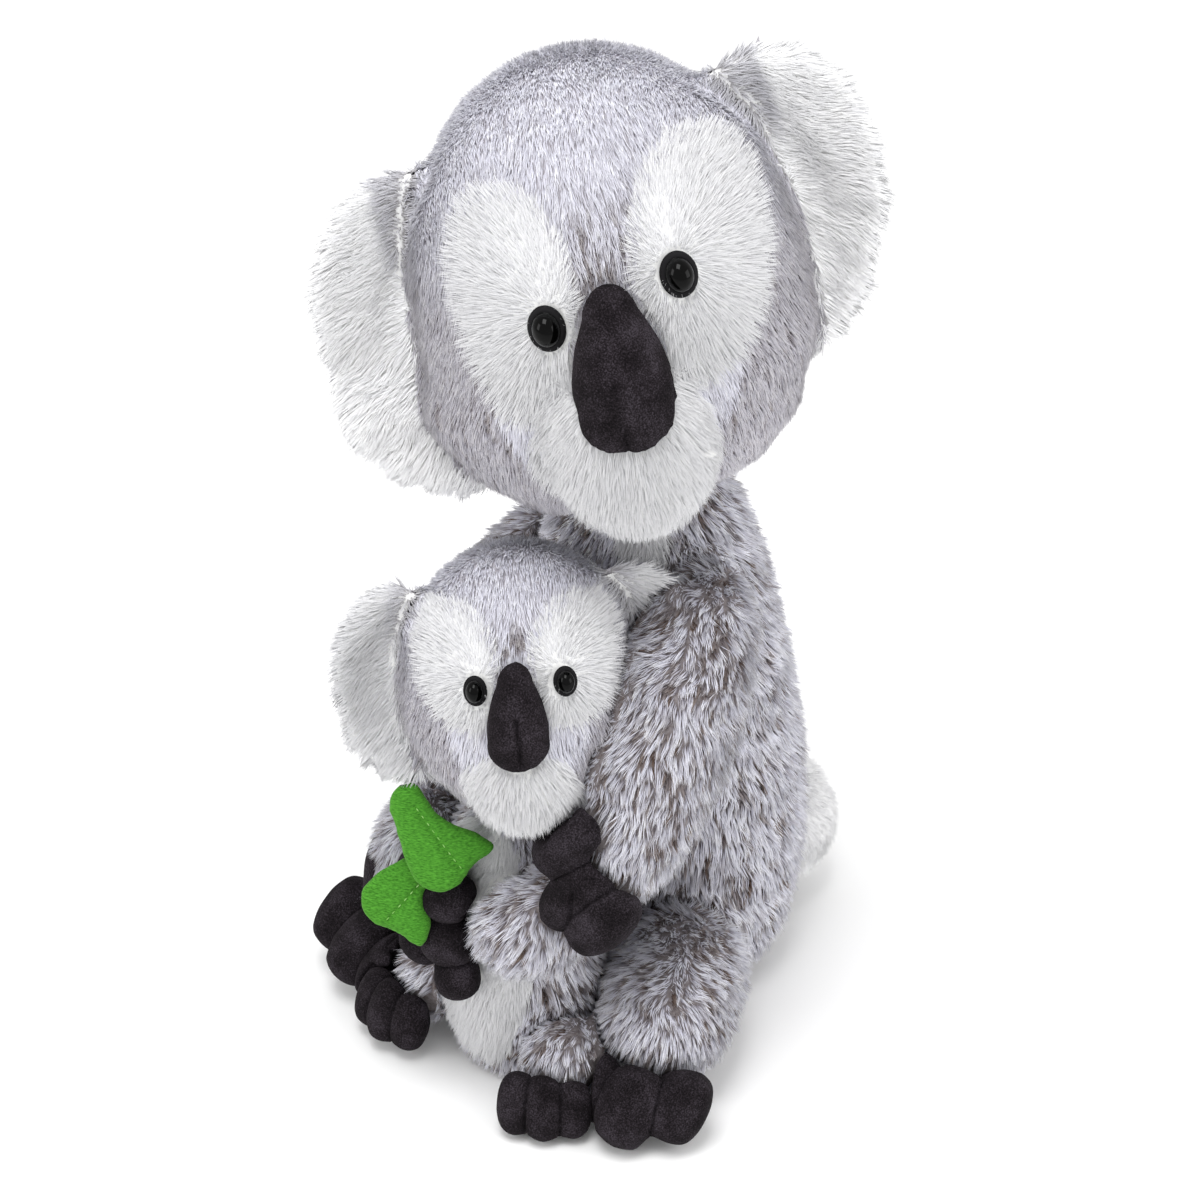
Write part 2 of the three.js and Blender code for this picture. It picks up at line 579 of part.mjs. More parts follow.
// A head with its face: the recesses take the patches, and each eye's shank ends in a washer's pocket
function addHead(prefix, panels, others) {
  const skin = forms[`${prefix}_head`];
  const named = (part) => `${prefix}_${part}`;
  let head = cut(solidOf(skin), ...others);
  for (const [side] of sides) {
    const { panel, recess } = letIn(skin, panels[side]);
    const eyeSpace = clearOf(named(`${side}_eye`));
    head = cut(head, recess, eyeSpace, clearOf(named(`${side}_eye_pocket`)));
    addPiece(named(`${side}_eye_patch`), 'whitePlush',
      cut(panel, eyeSpace, clearOf(named('muzzle'), named('nose')), ...others));
    addPiece(named(`${side}_eye`), 'glossyPlastic', solidOf(forms[named(`${side}_eye`)]));
    addPiece(named(`${side}_eye_washer`), 'nylon', solidOf(forms[named(`${side}_eye_washer`)]));
    const earBase = [clearOf(named('head')), ...others];
    const lining = cut(solidOf(forms[named(`${side}_ear_lining`)]), ...earBase);
    addPiece(named(`${side}_ear_lining`), 'whitePlush', lining);
    addPiece(named(`${side}_ear_back`), 'greyPlush',
      cut(solidOf(forms[named(`${side}_ear_back`)]), clearOf(named(`${side}_ear_lining`)), ...earBase));
  }
  addPiece(named('head'), 'greyPlush', head);
  addPiece(named('muzzle'), 'whitePlush',
    cut(solidOf(forms[named('muzzle')]), clearOf(named('head')), ...others));
  addPiece(named('nose'), 'suede',
    cut(solidOf(forms[named('nose')]), clearOf(named('head'), named('muzzle')), ...others));
}

// A body with its white panel
function addBody(prefix, panelName, { bib, body }, ...cutters) {
  const plugOf = (grow) => panelPlug({
    width: bib.width + 2 * grow, height: bib.height + 2 * grow, reach: cutReach, place: [0, bib.middle],
  }).translate(0, body.back, 0);
  const { panel, recess } = letIn(forms[`${prefix}_body`], plugOf);
  addPiece(panelName, 'whitePlush', cut(panel, ...cutters));
  addPiece(`${prefix}_body`, 'greyPlush', cut(solidOf(forms[`${prefix}_body`]), recess, ...cutters));
}

const turnStops = [-headTurnDegrees, 0, headTurnDegrees];
const motherHeadSpace = swept(['mother_head', 'mother_muzzle'], turnStops, mother.head.place);
const babyHeadSpace = swept(['baby_head', 'baby_muzzle'], [0], baby.head.place, seamGap);

addHead('mother', motherPanels, []);
const slitDepth = slitShares.depth * seatBag.depth;
const slit = new THREE.BoxGeometry(seatBag.slit, slitDepth, slitShares.height * seatBag.height)
  .translate(0, mother.body.back + slitShares.back * seatBag.depth, half(seatBag.height));
addBody('mother', 'mother_chest_bib', mother,
  belowFloor, motherHeadSpace, clearOf('mother_seat_bag'), solidOf(slit));
addPiece('mother_seat_bag', 'calico', solidOf(forms.mother_seat_bag));
addPiece('mother_tail', 'whitePlush', cut(solidOf(forms.mother_tail), clearOf('mother_body'), belowFloor));
addHead('baby', babyPanels, clearOf('mother_body', 'mother_left_arm', 'mother_right_arm'));
addBody('baby', 'baby_belly', baby, belowFloor, babyHeadSpace,
  clearOf('mother_body', 'mother_left_leg', 'mother_right_leg', 'mother_left_arm', 'mother_right_arm'));

// The space that forms need while her limb opens by some degrees on one side
function openSpace(names, side, [out, back], degrees) {
  const { body } = mother;
  const hinge = [side * out * half(body.width), body.back + back * body.depth];
  return swept(names, openShares.map((share) => side * share * degrees), hinge);
}

for (const [name, side] of sides) {
  const hers = (part) => `mother_${name}_${part}`;
  const joeys = (part) => `baby_${name}_${part}`;
  const addCut = (piece, look, ...cutters) => addPiece(piece, look, cut(solidOf(forms[piece]), ...cutters));
  addCut(hers('arm'), 'greyPlush', motherHeadSpace, clearOf('mother_body'));
  addCut(hers('hand'), 'suede', clearOf(hers('arm'), 'baby_body'), babyHeadSpace,
    openSpace([joeys('arm'), joeys('hand')], side, shoulderShares[name], -armOpenDegrees));
  addCut(hers('leg'), 'greyPlush', clearOf('mother_body'), belowFloor);
  addCut(hers('foot'), 'suede', clearOf(hers('leg')), belowFloor,
    openSpace([joeys('leg'), joeys('foot')], side, hipShares, -legOpenDegrees));
  addCut(joeys('arm'), 'greyPlush', clearOf('baby_body', 'mother_body'), babyHeadSpace,
    openSpace([hers('arm')], side, shoulderShares[name], armOpenDegrees));
  addCut(joeys('hand'), 'suede', clearOf(joeys('arm'), 'baby_body'),
    side > 0 ? [] : clearOf('leaf_upper', 'leaf_lower', 'baby_left_hand'));
  addCut(joeys('leg'), 'greyPlush', clearOf('baby_body', hers('leg'), 'mother_body'), belowFloor);
  addCut(joeys('foot'), 'suede', clearOf(joeys('leg'), hers('leg')), belowFloor);
}

const aroundLeaf = [
  ...clearOf('baby_body', 'baby_left_arm', 'baby_right_arm', 'baby_left_hand', 'mother_left_hand',
    'mother_right_hand', 'baby_right_ear_back', 'baby_right_ear_lining'), babyHeadSpace];
addPiece('leaf_upper', 'greenPlush', cut(solidOf(forms.leaf_upper), ...aroundLeaf));
addPiece('leaf_lower', 'greenPlush', cut(solidOf(forms.leaf_lower), ...aroundLeaf, clearOf('leaf_upper')));

export default group;
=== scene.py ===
import json
import math

import bmesh
import bpy
import numpy as np
from mathutils import Matrix, Vector
from mathutils.bvhtree import BVHTree
from mathutils.kdtree import KDTree

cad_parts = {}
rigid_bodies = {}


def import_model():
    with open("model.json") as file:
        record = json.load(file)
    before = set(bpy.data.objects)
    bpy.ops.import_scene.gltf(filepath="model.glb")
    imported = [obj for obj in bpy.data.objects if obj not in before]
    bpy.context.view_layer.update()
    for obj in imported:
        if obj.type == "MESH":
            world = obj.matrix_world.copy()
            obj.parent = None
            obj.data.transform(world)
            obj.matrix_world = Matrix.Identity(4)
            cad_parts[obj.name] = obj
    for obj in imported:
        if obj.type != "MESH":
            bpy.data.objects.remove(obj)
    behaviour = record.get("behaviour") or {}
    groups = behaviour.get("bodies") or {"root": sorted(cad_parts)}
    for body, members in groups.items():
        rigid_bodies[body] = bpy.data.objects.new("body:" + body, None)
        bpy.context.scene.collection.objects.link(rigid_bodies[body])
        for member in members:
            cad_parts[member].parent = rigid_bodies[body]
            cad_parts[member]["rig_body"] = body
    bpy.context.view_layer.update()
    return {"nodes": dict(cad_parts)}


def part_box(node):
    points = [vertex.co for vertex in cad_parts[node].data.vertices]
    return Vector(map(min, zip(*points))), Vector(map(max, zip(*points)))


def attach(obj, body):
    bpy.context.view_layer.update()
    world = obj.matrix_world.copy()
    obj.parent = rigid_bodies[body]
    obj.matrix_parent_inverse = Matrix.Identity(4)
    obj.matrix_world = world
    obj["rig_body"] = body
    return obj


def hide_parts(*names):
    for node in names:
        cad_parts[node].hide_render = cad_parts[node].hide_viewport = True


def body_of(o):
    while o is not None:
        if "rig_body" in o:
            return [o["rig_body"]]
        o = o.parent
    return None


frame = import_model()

# A seated plush koala with her joey on her lap, and the cloth leaves that the joey holds.
# Metres. The mother faces -Y and her left is +X.
scene = bpy.context.scene
nodes = frame["nodes"]
mm = 0.001
print("frame loaded:", len(nodes), "nodes")

# Camera, at the photograph's height and side
view = {
    "side": 42, "height": 32, "distance": 1.1, "aim": (0, -0.02, 0.13),
    "lens": 112.2, "shift": (0.0017, 0.0358),
}


def lookFrom(side, height):
    a, e = math.radians(side), math.radians(height)
    return Vector((math.sin(a) * math.cos(e), -math.cos(a) * math.cos(e), math.sin(e)))


def linkTo(obj):
    scene.collection.objects.link(obj)
    return obj


def turnTo(obj, direction):
    obj.rotation_mode = "QUATERNION"
    obj.rotation_quaternion = direction.to_track_quat("-Z", "Y")


camera = linkTo(bpy.data.objects.new("camera", bpy.data.cameras.new("camera")))
toCamera = lookFrom(view["side"], view["height"])
camera.location = Vector(view["aim"]) + toCamera * view["distance"]
turnTo(camera, -toCamera)
camera.data.lens = view["lens"]
camera.data.shift_x, camera.data.shift_y = view["shift"]
scene.camera = camera
scene.view_settings.view_transform = "Standard"


# Materials
def linear(code):  # an sRGB hex colour in linear light
    parts = [int(code[i:i + 2], 16) / 255 for i in (1, 3, 5)]
    return [p / 12.92 if p <= 0.04045 else ((p + 0.055) / 1.055) ** 2.4 for p in parts] + [1]


def addNode(tree, kind, settings=None, inputs=None, stops=None):
    node = tree.nodes.new("ShaderNode" + kind)
    for name, value in (settings or {}).items():
        setattr(node, name, value)
    for name, value in (inputs or {}).items():
        if isinstance(value, bpy.types.NodeSocket):
            tree.links.new(value, node.inputs[name])
        else:
            node.inputs[name].default_value = value
    if stops:
        ramp = node.color_ramp.elements
        while len(ramp) < len(stops):
            ramp.new(0.5)
        for element, (place, code) in zip(ramp, stops):
            element.position, element.color = place, linear(code)
    return node


def startMaterial(name, **values):
    material = bpy.data.materials.new(name)
    material.use_nodes = True
    shader = material.node_tree.nodes["Principled BSDF"]
    for socket, value in values.items():
        shader.inputs[socket.replace("_", " ")].default_value = value
    return material, material.node_tree, shader


def mixColours(tree, factor, first, second, blend="MIX"):
    return addNode(tree, "Mix", {"data_type": "RGBA", "blend_type": blend},
                   {0: factor, 6: first, 7: second}).outputs[2]


def addNoise(tree, scale, detail=2):
    place = addNode(tree, "TexCoord").outputs["Object"]
    return addNode(tree, "TexNoise", inputs={"Vector": place, "Scale": scale, "Detail": detail})


def addTone(tree, shader, pattern, stops):
    tone = addNode(tree, "ValToRGB", inputs={"Fac": pattern.outputs["Fac"]}, stops=stops)
    tree.links.new(tone.outputs["Color"], shader.inputs["Base Color"])


def addBump(tree, shader, pattern, depth):  # millimetres
    bump = addNode(tree, "Bump", inputs={"Height": pattern.outputs["Fac"], "Strength": 0.5,
                                         "Distance": depth * mm})
    tree.links.new(bump.outputs["Normal"], shader.inputs["Normal"])


# Long pile plush of tipped polyester fibres: each strand runs from a dull root to a pale tip, which gives
# the eye a soft grey with darker depths. The strands carry four values: height, tint, flecks, pale places.
def pileMaterial(name, stops, darkStops, paleStops, shades):
    material, tree, shader = startMaterial(name, Roughness=0.9, Specular_IOR_Level=0.15)
    height, tint, fleck, pale = (addNode(tree, "Attribute", {"attribute_name": "pile" + part}).outputs["Fac"]
                                 for part in ("Height", "Tint", "Fleck", "Pale"))
    light, dark, white = (addNode(tree, "ValToRGB", inputs={"Fac": height}, stops=ramp).outputs["Color"]
                          for ramp in (stops, darkStops, paleStops))
    shade = addNode(tree, "ValToRGB", inputs={"Fac": tint}, stops=shades).outputs["Color"]
    mixed = mixColours(tree, pale, mixColours(tree, fleck, light, dark), white)
    tree.links.new(mixColours(tree, 1.0, mixed, shade, "MULTIPLY"), shader.inputs["Base Color"])
    return material


# Plain cloth with a fine grain of about 1 mm: knitted backing that the pile grows from, calico and thread
def clothMaterial(name, low, high):
    material, tree, shader = startMaterial(name, Roughness=0.95, Specular_IOR_Level=0.1)
    addTone(tree, shader, addNoise(tree, 900, 3), [(0.3, low), (0.7, high)])
    return material


# Brushed microfibre suede: a nap with grains of about 0.4 mm, strokes of about 8 mm where a hand brushed it,
# no gloss, and painted shade that darkens the sewn channels towards near black
def suedeMaterial(name, low, middle, high):
    grainShare = 1.7  # the grain's strength beside the strokes'
    material, tree, shader = startMaterial(name, Roughness=0.95, Specular_IOR_Level=0.08, Sheen_Weight=0.04,
                                           Sheen_Roughness=0.5)
    shader.inputs["Sheen Tint"].default_value = linear("#8d8085")
    strokes, grain = addNoise(tree, 130, 3), addNoise(tree, 2300)
    both = addNode(tree, "Math", {"operation": "MULTIPLY_ADD"},
                   {0: grain.outputs["Fac"], 1: grainShare, 2: strokes.outputs["Fac"]})
    mean = addNode(tree, "Math", {"operation": "DIVIDE"}, {0: both.outputs[0], 1: grainShare + 1})
    tone = addNode(tree, "ValToRGB", inputs={"Fac": mean.outputs[0]},
                   stops=[(0.36, low), (0.5, middle), (0.66, high)])
    # Painted shade: the sewn channels' colour is mixed towards near black, standing in for the shade in
    # their creases
    seam = addNode(tree, "Attribute", {"attribute_name": "seamPaintedShade"}).outputs["Fac"]
    tone = mixColours(tree, seam, tone.outputs["Color"], linear("#050405"))
    tree.links.new(tone, shader.inputs["Base Color"])
    addBump(tree, shader, grain, 0.4)
    return material


# Short napped plush of the leaves, with slanting rows of pile about 0.3 mm wide
def nappedMaterial(name, low, high):
    material, tree, shader = startMaterial(name, Roughness=0.9, Specular_IOR_Level=0.1, Sheen_Weight=0.2,
                                           Sheen_Roughness=0.5)
    shader.inputs["Sheen Tint"].default_value = linear("#b9ee8e")
    place = addNode(tree, "TexCoord").outputs["Object"]
    slant = addNode(tree, "Mapping", inputs={"Vector": place, "Rotation": (0.4, 0.7, 0.7),
                                             "Scale": (900, 900, 3200)})
    nap = addNode(tree, "TexNoise", inputs={"Vector": slant.outputs["Vector"], "Scale": 1, "Detail": 3})
    addTone(tree, shader, nap, [(0.3, low), (0.7, high)])
    addBump(tree, shader, nap, 0.3)
    return material


# Moulded plastic: polished black acrylic for the safety eyes, which mirrors little, and duller nylon washers
def glossyMaterial(name, low, high, roughness=0.05):
    material, tree, shader = startMaterial(name, Roughness=roughness, IOR=1.21)
    addTone(tree, shader, addNoise(tree, 300), [(0, low), (1, high)])
    return material


materials = {
    "grey": pileMaterial(
        "tipped grey plush",
        [(0.0, "#6e6765"), (0.18, "#a9a5ab"), (0.4, "#e2e2ea"), (1.0, "#fdfdff")],
        [(0.0, "#382a24"), (0.45, "#67554a"), (1.0, "#948478")],
        [(0.0, "#dcdce2"), (0.3, "#ebebf1"), (1.0, "#f5f5fa")],
        [(0.0, "#cbc8cc"), (0.5, "#f0f0f6"), (1.0, "#ffffff")]),
    "white": pileMaterial(
        "white plush",
        [(0.0, "#d9dadb"), (0.3, "#e2e2e3"), (1.0, "#ebebec")],
        [(0.0, "#6b6260"), (0.3, "#a9a7ad"), (1.0, "#dcdce4")],
        [(0.0, "#fafafa"), (1.0, "#ffffff")],
        [(0.0, "#f1f1f3"), (1.0, "#ffffff")]),
    "suede": suedeMaterial("charcoal suede", "#0a080a", "#1c181b", "#39343a"),
    "leaf": nappedMaterial("green short pile plush", "#2c6118", "#4f9530"),
    "thread": clothMaterial("polyester thread", "#6fae4a", "#a5cf84"),
    "calico": clothMaterial("unbleached calico", "#d9d0ba", "#e9e2d0"),
    "nylon": glossyMaterial("moulded nylon", "#d8d5cb", "#e4e1d8", roughness=0.45),
    "eye": glossyMaterial("black acrylic", "#010101", "#040404"),
    "eyeRim": glossyMaterial("black acrylic, moulded rim", "#100f11", "#1a191b", roughness=0.7),
    "greyBacking": clothMaterial("grey knitted backing", "#6d6564", "#8b8587"),
    "whiteBacking": clothMaterial("white knitted backing", "#e4e4e3", "#f2f2f1"),
    # Painted light: a paler backing for heads and ear backs, which lifts the shade seen between their
    # strands
    "paleBacking": clothMaterial("pale grey knitted backing", "#b4b0b6", "#cbc8cf"),
}


# Meshes
def newPiece(name, mesh, *looks):
    piece = linkTo(bpy.data.objects.new(name, mesh))
    for look in looks:
        mesh.materials.append(materials[look])
    return piece


def evaluatedMesh(piece):
    depsgraph = bpy.context.evaluated_depsgraph_get()
    return bpy.data.meshes.new_from_object(piece.evaluated_get(depsgraph))


def applied(piece):
    old, new = piece.data, evaluatedMesh(piece)
    piece.modifiers.clear()
    new.name = piece.name
    piece.data = new
    bpy.data.meshes.remove(old)
    return piece


def toMesh(form, name):
    mesh = bpy.data.meshes.new(name)
    form.to_mesh(mesh)
    form.free()
    return mesh


def smooth(mesh):
    mesh.polygons.foreach_set("use_smooth", [True] * len(mesh.polygons))


def dress(piece, name):  # the piece stands for the CAD node of that name and moves with it
    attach(piece, body_of(nodes[name])[0])
    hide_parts(name)
    return piece


# Where a limb runs on to its paw behind the joey: middles and radii of its round stuffing, in millimetres
wrists = {
    "mother_right_arm": [((-38, -40, 75), 13), ((-41, -48, 68.5), 11.5), ((-42.5, -56, 62), 10.5),
                         ((-42, -62, 57), 9.5)],
    "mother_right_leg": [((-57, -46, 29), 11), ((-58, -54, 24), 10)],
}


def joinedSurface(names):
    form = bmesh.new()
    for name in names:
        form.from_mesh(nodes[name].data)
        for middle, radius in wrists.get(name, []):
            ball = bmesh.ops.create_icosphere(form, subdivisions=3, radius=radius * mm)["verts"]
            bmesh.ops.translate(form, verts=ball, vec=Vector(middle) * mm)
    bmesh.ops.remove_doubles(form, verts=form.verts, dist=0.01 * mm)
    return form


def treeOf(form):
    tree = BVHTree.FromBMesh(form)
    form.free()
    return tree


def surfaceTree(names):
    return treeOf(joinedSurface(names))


def meshTree(mesh):
    form = bmesh.new()
    form.from_mesh(mesh)
    return treeOf(form)


def pointTree(points):
    tree = KDTree(len(points))
    for i, point in enumerate(points.tolist()):
        tree.insert(point, i)
    tree.balance()
    return tree


def distancesTo(names, points):
    tree = surfaceTree(names)
    return np.array([tree.find_nearest(point)[3] for point in points.tolist()])


def readOut(items, key, width, kind=np.float32):
    values = np.empty(len(items) * width, kind)
    items.foreach_get(key, values)
    return values.reshape(-1, width)


def coordinates(mesh):
    return readOut(mesh.vertices, "co", 3).astype(float)


def vertexNormals(mesh):
    return readOut(mesh.vertex_normals, "vector", 3).astype(float)


def moveVertices(mesh, points):
    mesh.vertices.foreach_set("co", points.astype(np.float32).ravel())
    mesh.update()


def keepLargest(form):
    left, groups = set(form.verts), []
    while left:
        group = front = {left.pop()}
        while front:
            front = {v for vertex in front for edge in vertex.link_edges for v in edge.verts} & left
            group, left = group | front, left - front
        groups.append(group)
    groups.sort(key=len)
    bmesh.ops.delete(form, geom=[v for group in groups[:-1] for v in group], context="VERTS")


def smoothStep(low, high, values):
    t = np.clip((values - low) / (high - low), 0, 1)
    return t * t * (3 - 2 * t)


def fade(limits, distances):  # limits in millimetres
    return smoothStep(limits[0] * mm, limits[1] * mm, distances)


def unit(rows):
    return rows / np.maximum(np.linalg.norm(rows, axis=-1, keepdims=True), 1e-9)


print("helpers ready")

# Each head's middle, turn in degrees, and half its width, depth and height, as the CAD has them
heads = {
    "mother": {"place": (0, -0.016, 0.2475), "turn": (42, 14, 13), "half": (0.0535, 0.049, 0.068)},
    "baby": {"place": (0.005, -0.058, 0.137), "turn": (42, 14, 5), "half": (0.0345, 0.032, 0.043)},
}
for head in heads.values():
    yaw, pitch, roll = map(math.radians, head["turn"])
    spin = Matrix.Rotation(yaw, 3, "Z") @ Matrix.Rotation(-pitch, 3, "X") @ Matrix.Rotation(-roll, 3, "Y")
    head["axes"] = np.array(spin).T  # rows: the head's own left, back and up


def middleOf(node):
    low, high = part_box(node)
    return np.array((low + high) / 2)


# Which way the pile lies, for points of a piece
def layAlong(*direction):
    return lambda points: np.broadcast_to(np.array(direction, float), points.shape)


def layFrom(centre, fall=(0, 0, 0)):
    return lambda points: unit(points - centre) + np.array(fall)


def layDownHead(name):
    left, back, up = heads[name]["axes"]

    def lay(points):
        local = headLocal(name, points)
        across = local[:, :1]
        over = smoothStep(0, 0.6, local[:, 2:3]) * smoothStep(-0.95, -0.25, local[:, 1:2])
        return -(1 - 0.8 * over) * up - 1.8 * over * back + 0.35 * across * left * (1 - over)

    return lay


def layFromFace(name, part, fall):
    return layFrom(middleOf(part), -fall * heads[name]["axes"][2])


# Within these distances from the head, in millimetres, an ear's pile leans back over the seam
overSeam = (3.2, 1.2)


def layFromEar(ear):
    prefix, side = ear.split("_")
    centre = middleOf(ear + "_ear_lining")
    left, _, up = heads[prefix]["axes"]
    out = left if side == "left" else -left

    def lay(points):
        seam = fade(overSeam, distancesTo([prefix + "_head"], points))[:, None]
        outwards = 0.9 * out - 0.5 * up + 0.5 * unit(points - centre)
        return (1 - seam) * outwards - seam * (0.9 * out + 0.3 * up)

    return lay


# The pile of each kind of plush. Length, width and clump size are in millimetres, lean and spread in
# degrees, density in strands per square millimetre; the rest are shares from 0 to 1.
longGrey = {"look": "grey", "length": 5.6, "lean": 56, "spread": 11, "width": 0.44, "density": 2.75,
            "clump": 1.7, "pull": 0.62, "gaps": 0.45, "flecks": 0.014, "pale": 0, "wander": 0.3}
bodyGrey = dict(longGrey, length=6, density=1.8, width=0.55, clump=1.9, gaps=0.4)
shortGrey = dict(longGrey, length=4.6, lean=75, spread=6, width=0.42, clump=1.1, pull=0.22, gaps=0.1,
                 flecks=0.006, pale=0.3, wander=0.08)
softWhite = {"look": "white", "length": 5.4, "lean": 60, "spread": 9, "width": 0.38, "density": 3.45,
             "clump": 1.2, "pull": 0.2, "gaps": 0, "flecks": 0, "pale": 0, "wander": 0.1}
babyWhite = dict(softWhite, length=5)
longWhite = dict(softWhite, length=5.6, lean=62, width=0.42, density=3.1, clump=1.6, pull=0.3, pale=1,
                 wander=0.15)
down = layAlong(0, 0, -1)


def sewnIn(prefix):  # what a head's skin closes over
    return [f"{prefix}_{side}_{part}" for part in ("eye_patch", "eye_washer") for side in ("left", "right")]


# Every plush piece: the nodes that its skin closes over, how far the pile's roots lie inside the CAD form
# and the grid of the skin, in millimetres, then its pile, the way it lies, and how full of stuffing it is
plush = {
    "mother_head": {"with": sewnIn("mother"), "inset": 1.5, "pile": dict(shortGrey, density=3.05),
                    "lay": layDownHead("mother"), "fill": 0.9},
    "mother_muzzle": {"inset": 3, "voxel": 2, "pile": softWhite,
                      "lay": layFromFace("mother", "mother_nose", 0.5), "fill": 0.9},
    "mother_body": {"with": ["mother_chest_bib", "mother_seat_bag"], "inset": 2.8, "pile": bodyGrey,
                    "lay": down, "fill": 0.9},
    "mother_chest_bib": {"inset": 1.7, "voxel": 1.4, "pile": softWhite, "lay": down, "fill": 0.5},
    "mother_tail": {"inset": 2.8, "voxel": 2.4, "pile": longWhite,
                    "lay": layFrom(middleOf("mother_tail"), (0, 0.3, -0.6)), "fill": 0.8},
    "baby_head": {"with": sewnIn("baby"), "inset": 1.5, "voxel": 2.4,
                  "pile": dict(shortGrey, length=4.8, pale=0), "lay": layDownHead("baby"), "fill": 0.9},
    "baby_muzzle": {"inset": 2.4, "voxel": 1.6, "pile": babyWhite,
                    "lay": layFromFace("baby", "baby_nose", 0.5), "fill": 0.9},
    "baby_body": {"with": ["baby_belly"], "inset": 2.8, "voxel": 2.4, "pile": longGrey, "lay": down,
                  "fill": 0.8},
    "baby_belly": {"inset": 1.7, "voxel": 1.3, "pile": softWhite, "lay": down, "fill": 0.5},
}
faceSkins = {
    "mother": {"patch": {"inset": 1.7, "voxel": 1.2, "pile": softWhite},
               "back": {"inset": 1.2, "voxel": 1.4, "pile": shortGrey},
               "lining": {"inset": 1, "voxel": 1.2, "pile": longWhite}},
    "baby": {"patch": {"inset": 1.7, "voxel": 1.1, "pile": babyWhite},
             "back": {"inset": 1, "voxel": 1.2, "pile": shortGrey},
             "lining": {"inset": 0.8, "voxel": 1.1, "pile": softWhite}},
}
for prefix, face in faceSkins.items():
    for side in ("left", "right"):
        eye, ear = f"{prefix}_{side}_eye", f"{prefix}_{side}_ear"
        lay = layFromEar(f"{prefix}_{side}")
        plush[eye + "_patch"] = dict(face["patch"], lay=layFromFace(prefix, eye, 0.15), fill=0.5)
        plush[ear + "_back"] = dict(face["back"], lay=lay, fill=0.4)
        plush[ear + "_lining"] = dict(face["lining"], lay=lay, fill=0.4)
limb = {"inset": 2.8, "pile": longGrey, "fill": 0.8}
babyLimb = dict(limb, voxel=2.2, fill=0.7)
for side, out in (("left", 1), ("right", -1)):
    plush.update({
        f"mother_{side}_arm": dict(limb, lay=layAlong(0.1 * out, -0.5, -0.85)),
        f"mother_{side}_leg": dict(limb, lay=layAlong(0.2 * out, -0.4, -1)),
        f"baby_{side}_arm": dict(babyLimb, lay=layAlong(-0.1 * out, -0.6, -0.7)),
        f"baby_{side}_leg": dict(babyLimb, lay=layAlong(0.3 * out, -0.6, -0.8)),
    })
# Pieces that are sewn together share one surface for their pile, so that it runs on over the seams
groups = [[f"{prefix}_head", f"{prefix}_muzzle"] + [f"{prefix}_{side}_{part}" for side in ("left", "right")
                                                    for part in ("eye_patch", "ear_back", "ear_lining")]
          for prefix in ("mother", "baby")]
groups += [["mother_body", "mother_chest_bib", "mother_tail"], ["baby_body", "baby_belly"]]
groups += [[name] for name in plush if not any(name in group for group in groups)]
suedeNodes = [name for name in nodes if name.endswith(("_nose", "_hand", "_foot"))]
eyeNodes = [name for name in nodes if name.endswith("_eye")]
hiddenNodes = [name for name in nodes if name.endswith(("_washer", "_seat_bag"))]
firmNodes = suedeNodes + eyeNodes + ["leaf_upper", "leaf_lower"]
firmTree = surfaceTree(firmNodes)

# Skins: the CAD form, remeshed in quads on a grid of so many millimetres, drawn in where the pile will
# stand, and swollen by the stuffing's pressure, by "cap" millimetres at most
stuffing = {"voxel": 4.4, "groupVoxel": 2.4, "pressure": 4, "frames": 20, "cap": 2.2}


def remeshed(name, sources, voxel, relax=3):
    piece = newPiece(name, toMesh(joinedSurface(sources), name))
    remesh = piece.modifiers.new("remesh", "REMESH")
    remesh.mode, remesh.voxel_size = "VOXEL", voxel * mm
    applied(piece)
    form = bmesh.new()
    form.from_mesh(piece.data)
    keepLargest(form)
    relaxed(form, relax)
    form.to_mesh(piece.data)
    form.free()
    return piece


def relaxed(form, times):
    for _ in range(times):
        bmesh.ops.smooth_vert(form, verts=form.verts, factor=0.5, use_axis_x=True, use_axis_y=True,
                              use_axis_z=True)


def withInner(names):
    return names + [inner for name in names for inner in plush[name].get("with", []) if inner not in names]


def nearestPoints(places, points):
    tree = pointTree(places)
    return np.array([tree.find(point)[2] for point in points.tolist()])


# In millimetres: the grey pile of the head covers the rim of an eye patch this far in, and the white of the
# bib reaches this far to the right of the chin
patchSeam, bibReach = 2.4, 4


# The nearest piece of a group to each point; an ear's rim belongs to its lining
def labelsOf(names, points, normals):
    labels = np.argmin([distancesTo([name], points) for name in names], axis=0)
    for i, name in enumerate(names):
        if name.endswith("_ear_back"):
            rearward = normals @ heads[name.split("_")[0]]["axes"][1]
            labels[(labels == i) & (rearward < 0.5)] = names.index(name.replace("back", "lining"))
        if name.endswith("_eye_patch"):
            mine, beside = np.flatnonzero(labels == i), points[labels == 0]
            apart = nearestPoints(beside, points[mine])
            labels[mine[apart < patchSeam * mm]] = 0
        if name == "mother_chest_bib":
            across = (points - middleOf("mother_muzzle")) @ np.array(lookFrom(view["side"] + 90, 0))
            labels[(labels == i) & (across < -bibReach * mm)] = names.index("mother_body")
    return labels


def blurred(mesh, values, times):
    ends = readOut(mesh.edges, "vertices", 2, np.int32)
    here, there = ends.T.ravel(), ends[:, ::-1].T.ravel()
    beside = np.bincount(here, minlength=len(values))
    for _ in range(times):
        values = (values + np.bincount(here, values[there], len(values))) / (1 + beside)
    return values


def headLocal(name, points):
    head = heads[name.split("_")[0]]
    return (points - head["place"]) @ head["axes"].T / head["half"]


# Millimetres that the lower cheeks stand out past the CAD form, and the share of it on the head's left side
fullCheeks = {"mother_head": 4.5, "baby_head": 1.5}
leftCheek = 0.3
# Millimetres from other pieces and the floor, up to which a skin is held or bare and from which it is free
# or furred; below "seat" it is flat. The shares are of the pile, under limbs that open and on the floor.
contact = {"held": (0.6, 2.2), "bare": (0.35, 0.9), "floor": (1.2, 5), "seat": 1.5, "underLimb": 0.7,
           "onFloor": 0.15}


